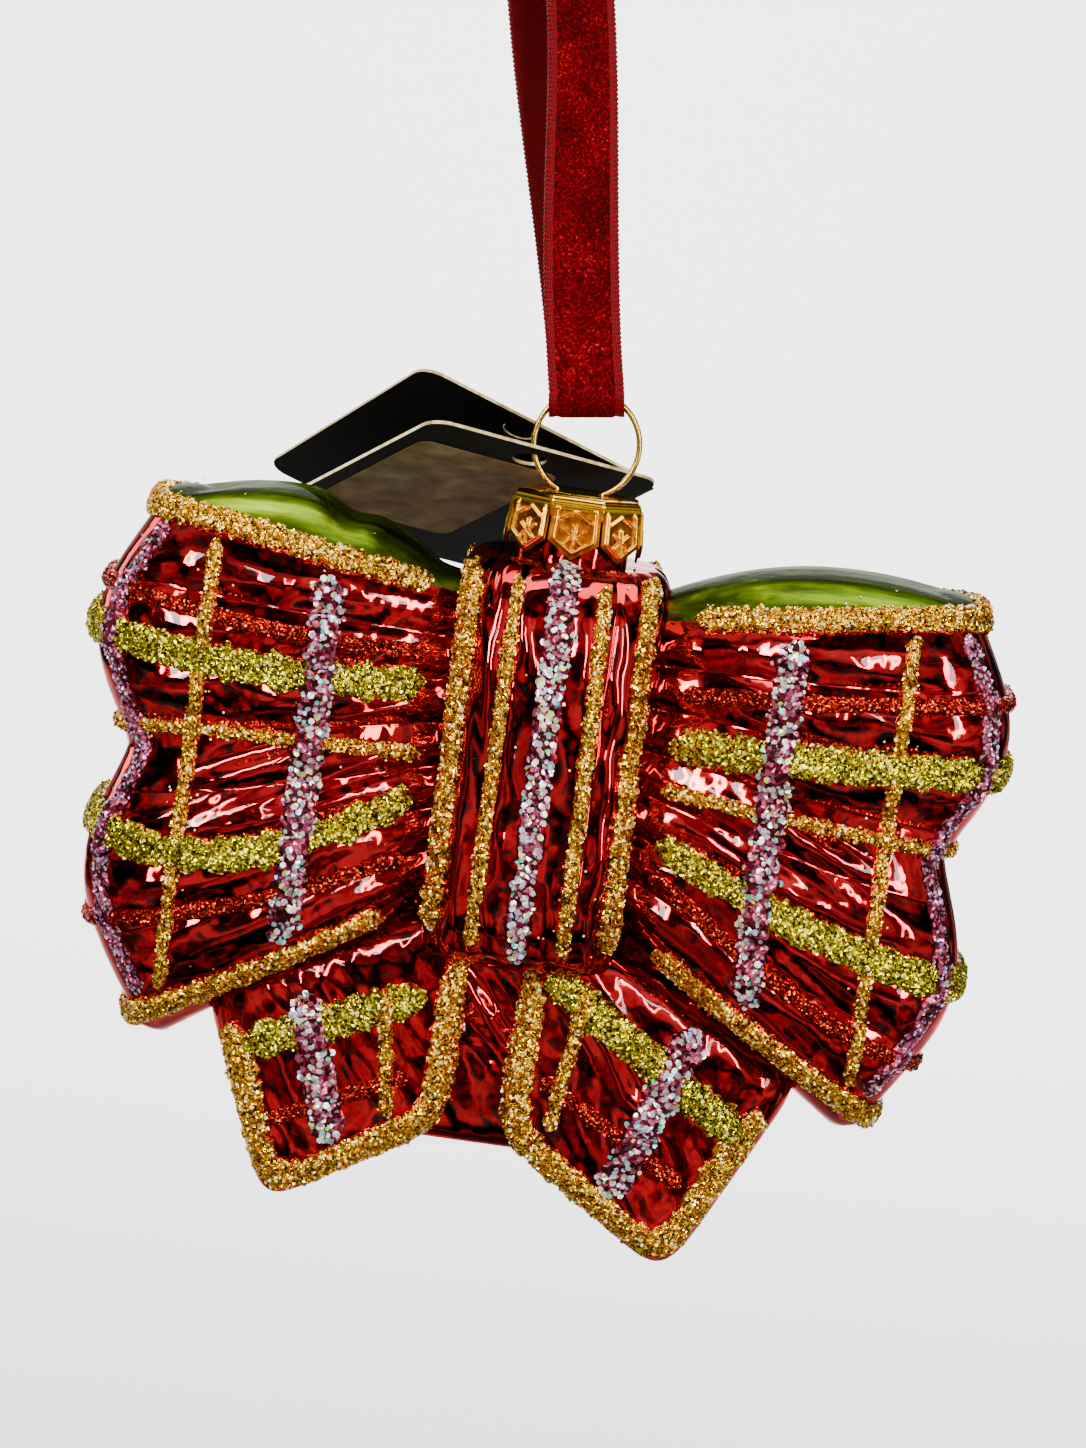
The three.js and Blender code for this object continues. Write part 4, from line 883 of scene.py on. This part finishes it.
def velvetPile():
    # cut pile velvet: dark face on, light at grazing angles, with a few fibre tips painted pale as painted
    # glints
    material, tree, surface = startMaterial("crushed_velvet_pile", {
        "Roughness": 0.9, "Sheen Weight": 0.15, "Sheen Roughness": 0.3, "Sheen Tint": hexColour("#E00010"),
        "Specular IOR Level": 0.05,
    })
    tufts = noiseOf(tree, 2600.0, 5.0, Roughness=0.7)  # 0.4 mm tufts
    both = maths(tree, "MULTIPLY_ADD", noiseOf(tree, 120.0, 2.0), 0.25, tufts)  # and 8 mm crushed patches
    # the palest stop, where the tufts peak, is a painted glint on the fibre tips
    paint(tree, surface, both, [
        (0.5, "#220002"), (0.62, "#4C0004"), (0.75, "#86000A"), (0.84, "#D83040")])
    emboss(tree, surface, tufts, 0.8, 0.0003)
    return material


def satinWeave(name, dark, light, thread):
    # woven polyester satin, with its threads drawn at their real spacing
    material, tree, surface = startMaterial(name, {"Roughness": 0.5, "Specular IOR Level": 0.1})
    scale = 314.16 / thread  # 20 radians to the metre at scale 1, thread in mm
    threads, picks = (
        addNode(tree, "ShaderNodeTexWave", {"Scale": scale, "Distortion": 0.6, "bands_direction": way},
                {"Vector": placeOf(tree)}).outputs["Fac"] for way in "ZX")
    woven = maths(tree, "MULTIPLY", threads, picks)
    paint(tree, surface, woven, [(0.0, dark), (0.8, light)])
    emboss(tree, surface, woven, 0.6, 0.0001)
    return material


ribbon = {
    "width": 10, "thick": 0.6, "rise": 66, "topRadius": 5, "bottomRadius": 2.9, "twist": 30, "drift": -3.5,
    "pile": 3.9, "stitch": 0.62, "stitchRise": 0.13, "stitchOut": 0.16, "pileRise": 0.16, "fuzz": 0.025,
    "bendSteps": 60, "sideSteps": 420, "clear": 0.3,
}


def buildRibbon():
    bottomHalf = ribbon["bottomRadius"] + ribbon["thick"] / 2
    topHalf = ribbon["topRadius"] + ribbon["thick"] / 2
    wireDrop = math.sqrt(wire["ring"] ** 2 - (ribbon["width"] / 2) ** 2)
    bottomCentre = wireDrop - wire["radius"] - ribbon["clear"] + ribbon["bottomRadius"]
    topCentre = ribbon["rise"] - ribbon["thick"] - ribbon["topRadius"]
    turn = np.linspace(0, np.pi, ribbon["bendSteps"])[:-1]
    climb = np.linspace(0, 1, ribbon["sideSteps"])[:-1]
    out = lerp(bottomHalf, topHalf, smooth(climb, 0, 1))
    outs = np.concatenate([-bottomHalf * np.cos(turn), out, topHalf * np.cos(turn), -out[::-1]])
    heights = np.concatenate([
        bottomCentre - bottomHalf * np.sin(turn), lerp(bottomCentre, topCentre, climb),
        topCentre + topHalf * np.sin(turn), lerp(bottomCentre, topCentre, 1 - climb)])
    heads = np.concatenate([turn - np.pi, 0 * climb, turn, 0 * climb + np.pi])
    share = np.clip((heights - bottomCentre) / (topCentre - bottomCentre), 0, 1)
    twist = np.radians(ribbon["twist"]) * smooth(share, 0, 1)
    flatWay = np.stack([np.cos(twist), np.sin(twist), 0 * twist], -1)
    away = np.stack([-np.sin(twist), np.cos(twist), 0 * twist], -1)
    centre = away * outs[:, None]
    centre[:, 0] += ribbon["drift"] * share
    centre[:, 2] = heights
    normal = away * np.cos(heads)[:, None]
    normal[:, 2] = np.sin(heads)
    run = np.concatenate([[0], np.cumsum(np.linalg.norm(np.diff(centre, axis=0), axis=1))])
    half, pile = ribbon["width"] / 2, ribbon["pile"]
    places = np.concatenate([np.linspace(-half, -pile, 6), np.linspace(-pile + 0.15, pile - 0.15, 22),
                             np.linspace(pile, half, 6)])
    aside = np.abs(places)
    outerSlots = np.where(np.abs((places[:-1] + places[1:]) / 2) < pile, 0, 1)
    stitch = np.abs(np.sin(np.pi * run / ribbon["stitch"]))[:, None]
    nap = ribbon["pileRise"] * (1 - smooth(aside, pile - 0.3, pile))
    lift = -0.02 + nap + ribbon["stitchRise"] * stitch * smooth(aside, pile + 0.1, half - 0.35)
    fuzz = rng.normal(0, ribbon["fuzz"], lift.shape) * (aside < pile)
    shift = np.sign(places) * ribbon["stitchOut"] * stitch * smooth(aside, half - 0.3, half)
    middle = centre[:, None] + flatWay[:, None] * (places * 0.985 + shift)[..., None]
    over = ribbon["thick"] / 2 + lift + fuzz
    under = ribbon["thick"] / 2 - 0.05 + 0.02 * stitch * np.ones_like(places)
    outer = middle + normal[:, None] * over[..., None]
    inner = middle - normal[:, None] * under[..., None]
    rows = np.concatenate([outer, inner[:, ::-1]], 1)
    slots = np.concatenate([outerSlots, [1], np.full(len(places) - 1, 2), [1]])
    lean = np.array([[math.cos(tilt), 0, -math.sin(tilt)], [0, 1, 0], [math.sin(tilt), 0, math.cos(tilt)]])
    rows = rows @ lean.T + np.array([0, 0, ringCentre])
    shell = newShell()
    addGrid(shell, rows, np.broadcast_to(slots, (len(rows), len(slots))), across=True, along=True)
    materials = [velvetPile(), satinWeave("satin_selvedge", "#480003", "#940010", 0.3),
                 satinWeave("woven_ribbon_back", "#3C0002", "#78000A", 0.35)]
    piece = makePiece("velvet_ribbon_loop", shell, materials, "ribbon", ["velvet_ribbon"])


tag = {
    "width": 35.5, "length": 50, "sheet": 0.45, "fold": 1.3, "corner": 3, "hole": 2.3,
    "holeAt": (18.2, 4.5),
    "front": ((10.863, 5.725, -3.967), (-0.884, -0.444, 0.148), (-0.465, 0.801, -0.377)),
    "rear": ((8.885, 8.969, -4.084), (-0.891, -0.31, 0.333), (-0.429, 0.814, -0.391)),
    "rearCut": 0.5, "discShare": 0.96, "sticker": (11.5, 7.6, 33, 40), "stickerSkin": (0.01, 0.09),
    "bow": 0.35,
}  # each leaf: its fold's upper end, the way along its top and the way down


def coatedCard():
    # black card with a matt laminate, which keeps it dark against a white room
    material, tree, surface = startMaterial("black_matt_laminated_card", {"Specular IOR Level": 0.07})
    smears = noiseOf(tree, 110.0, 5.0)  # 9 mm smears
    paint(tree, surface, smears, [(0.4, "#030303"), (0.7, "#0C0B09")])
    rough = addNode(tree, "ShaderNodeMapRange", {"To Min": 0.68, "To Max": 0.85}, {"Value": smears})
    tree.links.new(rough.outputs["Result"], surface.inputs["Roughness"])
    return material


def leafFrame(name):
    fold, along, down = (np.array(v, float) for v in tag[name])
    along = unit(along)
    down = unit(down - along * np.dot(along, down))
    return fold + np.array([0, 0, ringCentre]), along, down, np.cross(along, down)


def roundedOutline(x0, y0, x1, y1, radii, steps=8):  # radii in turn from (x0, y0) by way of (x1, y0)
    points = []
    for (x, y), start, r in zip(((x0, y0), (x1, y0), (x1, y1), (x0, y1)), (180, 270, 0, 90), radii):
        cx = x + (r if x == x0 else -r)
        cy = y + (r if y == y0 else -r)
        for k in range(steps + 1 if r else 1):
            a = math.radians(start + 90 * k / steps)
            points.append((cx + r * math.cos(a), cy + r * math.sin(a)))
    return points


def flatCard(outline, holes, spacing):  # triangles over an outline with holes, and its edge rings
    xs, ys = [p[0] for p in outline], [p[1] for p in outline]
    points, edges, rings = [], [], []
    for corners in [outline] + holes:
        ring = list(range(len(points), len(points) + len(corners)))
        rings.append(ring)
        points += corners
        edges += zip(ring, ring[1:] + ring[:1])
    for x in np.arange(min(xs) + spacing, max(xs), spacing):
        for y in np.arange(min(ys) + spacing, max(ys), spacing):
            points.append((float(x), float(y)))
    found = delaunay_2d_cdt([Vector(p) for p in points], edges, [], 0, 1e-5)
    places = np.array([list(p) for p in found[0]])
    faces = [list(face) for face in found[2]]
    kept = [face for face in faces if insideOf(outline, places[face].mean(0))
            and not any(insideOf(hole, places[face].mean(0)) for hole in holes)]
    return places, kept, rings


def insideOf(ring, point):
    x, y = np.array(ring).T
    xn, yn = np.roll(x, -1), np.roll(y, -1)
    crosses = ((y > point[1]) != (yn > point[1])) & (
        point[0] < (xn - x) * (point[1] - y) / np.where(yn == y, 1e-12, yn - y) + x)
    return crosses.sum() % 2 == 1


def addCard(shell, frameOf, outline, holes, low, high, slots, spacing=2.5, bend=None):
    origin, along, down, up = frameOf
    places, faces, rings = flatCard(outline, holes, spacing)
    rise = bend(places[:, 0], places[:, 1]) if bend else np.zeros(len(places))
    flat = origin + places[:, :1] * along + places[:, 1:] * down
    topPoints, lowPoints = flat + (rise + high)[:, None] * up, flat + (rise + low)[:, None] * up
    addFaces(shell, topPoints, faces, slots[0])
    addFaces(shell, lowPoints, [face[::-1] for face in faces], slots[0])
    for ring in rings:
        rows = np.stack([topPoints[ring], lowPoints[ring]])
        addGrid(shell, rows, slots[1], across=True)


def cardBend(u, v):
    return tag["bow"] * np.sin(np.pi * u / tag["width"]) * (v / tag["length"]) ** 2


def buildFold(card, gilt):  # the strip of card that joins the leaves along their right edge
    frontAt, frontAlong, frontDown, _ = leafFrame("front")
    rearAt, rearAlong, rearDown, _ = leafFrame("rear")
    share = np.linspace(0, 1, 13)
    place = np.linspace(tag["corner"], tag["length"] - tag["corner"], 40)
    near = frontAt + place[:, None] * frontDown
    far = rearAt + place[:, None] * rearDown
    outward = unit(-(frontAlong + rearAlong))
    middle = lerp(near[:, None], far[:, None], share[None, :, None])
    bulge = tag["fold"] * np.sin(np.pi * share)[None, :, None]
    across = unit(rearAt - frontAt)
    lean = unit(outward * np.sin(np.pi * share)[:, None] - across * np.cos(np.pi * share)[:, None])
    skin = middle + outward * bulge
    outer = skin + lean[None] * tag["sheet"] * 0.35  # thinner than the card, as folds are
    inner = skin - lean[None] * tag["sheet"] * 0.35
    shell = newShell()
    addGrid(shell, outer, 0)
    addGrid(shell, inner, 0, flip=True)
    for row, flip in ((0, False), (-1, True)):
        addGrid(shell, np.stack([outer[row], inner[row]]), 1, flip=flip)
    for column in (0, -1):
        addGrid(shell, np.stack([outer[:, column], inner[:, column]]), 0, flip=column == 0)
    strip = makePiece("tag_fold_strip", shell, [card, gilt], None, (), False)
    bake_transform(strip)


def buildTag():
    card = coatedCard()
    # gilt foil over the card's cut edge, thin enough for paper to show through
    gilt = mottled("gilt_card_edge", {"Metallic": 0.6, "Roughness": 0.35}, 900.0, 4.0,
                   [(0.35, "#B89050"), (0.6, "#E0C890"), (0.75, "#F6EAC8")])
    hole = circle(*tag["holeAt"], tag["hole"], 32)
    half = tag["sheet"] / 2
    for name, top in (("front", 0), ("rear", tag["rearCut"])):  # the rear leaf is short to clear the wire
        shell = newShell()
        outline = roundedOutline(0, top, tag["width"], tag["length"], [tag["corner"]] * 4)
        addCard(shell, leafFrame(name), outline, [hole], -half, half, (0, 1), bend=cardBend)
        if name == "rear":  # the punched disc is still in this hole
            disc = circle(*tag["holeAt"], tag["discShare"] * tag["hole"], 32)
            addCard(shell, leafFrame(name), disc, [], -0.15, 0.05, (0, 0), bend=cardBend)
        makePiece(f"tag_{name}_card", shell, [card, gilt], f"tag_{name}", [f"tag_{name}_leaf"],
                  False)
    buildFold(card, gilt)
    label = newShell()
    side = -1 if leafFrame("front")[3][1] > 0 else 1  # the label is on the face towards the viewer
    low, high = sorted(side * (half + skin) for skin in tag["stickerSkin"])
    sticker = roundedOutline(*tag["sticker"], (2, 2, 2, 2))
    addCard(label, leafFrame("front"), sticker, [], low, high, (0, 0), bend=cardBend)
    # matt self-adhesive paper, pale cream, painted a darker tan as painted shade and faintly creased every 4
    # mm
    paper = mottled("blank_paper_label_painted_shade", {"Roughness": 0.8, "Specular IOR Level": 0.1}, 240.0, 8.0,
                    [(0.35, "#5A4A2E"), (0.6, "#7C6A46"), (0.8, "#968460")], 0.3, 0.0003)
    makePiece("tag_blank_label", label, [paper], "tag_front", (), False)


buildCap()
buildWire()
buildRibbon()
buildTag()
print("cap, wire, ribbon and tag built")


# Studio

studio = {"floor": -0.42, "front": 0.1, "back": 2.4, "bend": 0.9, "height": 2.6, "half": 0.85, "clear": 0.5,
          "fade": 0.7, "backdrop": (2.6, 2.6, 2.6, 1)}  # metres
shot = {"distance": 800.0, "pixel": 0.135, "rows": 1448, "sensor": 36, "elevation": 7,
        "aim": (-0.58, 0.0, 9.63)}


def buildFloor():
    back, floor, bend = studio["back"], studio["floor"], studio["bend"]
    profile = [(studio["front"], floor)]
    profile += [(back + bend * math.sin(a), floor + bend * (1 - math.cos(a)))
                for a in np.linspace(0, np.pi / 2, 24)]
    profile += [(back + bend, floor + studio["height"])]
    points = [(side * studio["half"], y, z) for y, z in profile for side in (-1, 1)]
    faces = [(2 * i, 2 * i + 1, 2 * i + 3, 2 * i + 2) for i in range(len(profile) - 1)]
    mesh = bpy.data.meshes.new("paper_sweep")
    mesh.from_pydata(points, [], faces)
    mesh.polygons.foreach_set("use_smooth", [True] * len(faces))
    sweep = addObject("paper_sweep", mesh)
    # seamless white paper, which fades out to the sides and in front
    material, tree, surface = startMaterial("matt_white_paper", {
        "Roughness": 0.95, "Base Color": hexColour("#F2F2F2"), "Specular IOR Level": 0.1})
    split = addNode(tree, "ShaderNodeSeparateXYZ", None, {"Vector": placeOf(tree)})
    sides = addNode(tree, "ShaderNodeMapRange", {
        "From Min": studio["clear"], "From Max": studio["half"], "To Min": 1.0, "To Max": 0.0,
    }, {"Value": maths(tree, "ABSOLUTE", split.outputs["X"])})
    front = addNode(tree, "ShaderNodeMapRange", {
        "From Min": studio["front"], "From Max": studio["front"] + studio["fade"],
    }, {"Value": split.outputs["Y"]})
    shown = maths(tree, "MULTIPLY", sides.outputs["Result"], front.outputs["Result"])
    tree.links.new(shown, surface.inputs["Alpha"])
    mesh.materials.append(material)


def addSoftbox(name, place, size, power, target=(0.012, 0, -0.11)):
    light = bpy.data.lights.new(name, "AREA")
    light.shape = "RECTANGLE"
    light.size, light.size_y = size
    light.energy = power
    lamp = addObject(name, light)
    lamp.location = place
    lamp.rotation_euler = (Vector(target) - Vector(place)).to_track_quat("-Z", "Y").to_euler()


def buildWorld():  # a plain white for the eye, and a dark room with bright patches for the reflections
    world = bpy.data.worlds.new("dim_studio")
    bpy.context.scene.world = world
    world.use_nodes = True
    tree = world.node_tree
    seen = addNode(tree, "ShaderNodeLightPath").outputs["Is Camera Ray"]
    place = addNode(tree, "ShaderNodeTexCoord").outputs["Generated"]
    shades = rampOf(tree, noiseOf(tree, 3.0, 3.0, place), [
        (0.41, "#0A0A0A"), (0.48, "#505050"), (0.54, "#ACACAC"), (0.62, "#FFFCF8")])
    pick = addNode(tree, "ShaderNodeMix", {"data_type": "RGBA"}, {"Factor": seen, 6: shades})
    pick.inputs[7].default_value = studio["backdrop"]
    tree.links.new(pick.outputs[2], tree.nodes["Background"].inputs["Color"])


def buildCamera():
    data = bpy.data.cameras.new("camera")
    data.sensor_fit = "VERTICAL"
    data.sensor_height = shot["sensor"]
    data.lens = shot["sensor"] * shot["distance"] / (shot["rows"] * shot["pixel"])
    data.clip_start, data.clip_end = 0.05, 50
    camera = addObject("camera", data)
    elevation = math.radians(shot["elevation"])
    toEye = np.array([0, -math.cos(elevation), math.sin(elevation)])
    right, up = np.array([1.0, 0, 0]), np.array([0, math.sin(elevation), math.cos(elevation)])
    axisX = math.cos(tilt) * right + math.sin(tilt) * up  # the bow leans 8 degrees clockwise in the picture
    axisY = -math.sin(tilt) * right + math.cos(tilt) * up
    place = toMetres(np.array(shot["aim"]) + toEye * shot["distance"])
    matrix = Matrix.Identity(4)
    for k, axis in enumerate((axisX, axisY, toEye, place)):
        for row in range(3):
            matrix[row][k] = float(axis[row])
    camera.matrix_world = matrix
    bpy.context.scene.camera = camera


buildFloor()
addSoftbox("key_left", (-0.62, -0.75, 0.3), (0.08, 0.6), 11)
addSoftbox("window_left", (-0.3, -1.1, 0.25), (0.05, 0.5), 5)
addSoftbox("window_right", (0.36, -1.05, 0.2), (0.05, 0.5), 4.5)
addSoftbox("strip_right", (0.75, -0.6, 0.1), (0.07, 0.8), 8)
addSoftbox("front_fill", (0.1, -1.6, 0.9), (1.6, 0.9), 3)
addSoftbox("top_light", (0.0, 0.1, 0.7), (0.7, 0.5), 7)
addSoftbox("rear_left", (-0.9, 0.7, 0.2), (0.3, 0.8), 5)
addSoftbox("sweep_light", (0.0, 1.5, 1.6), (2.4, 0.8), 240, (0, 3.1, 0.2))
buildWorld()
buildCamera()
print("studio ready")
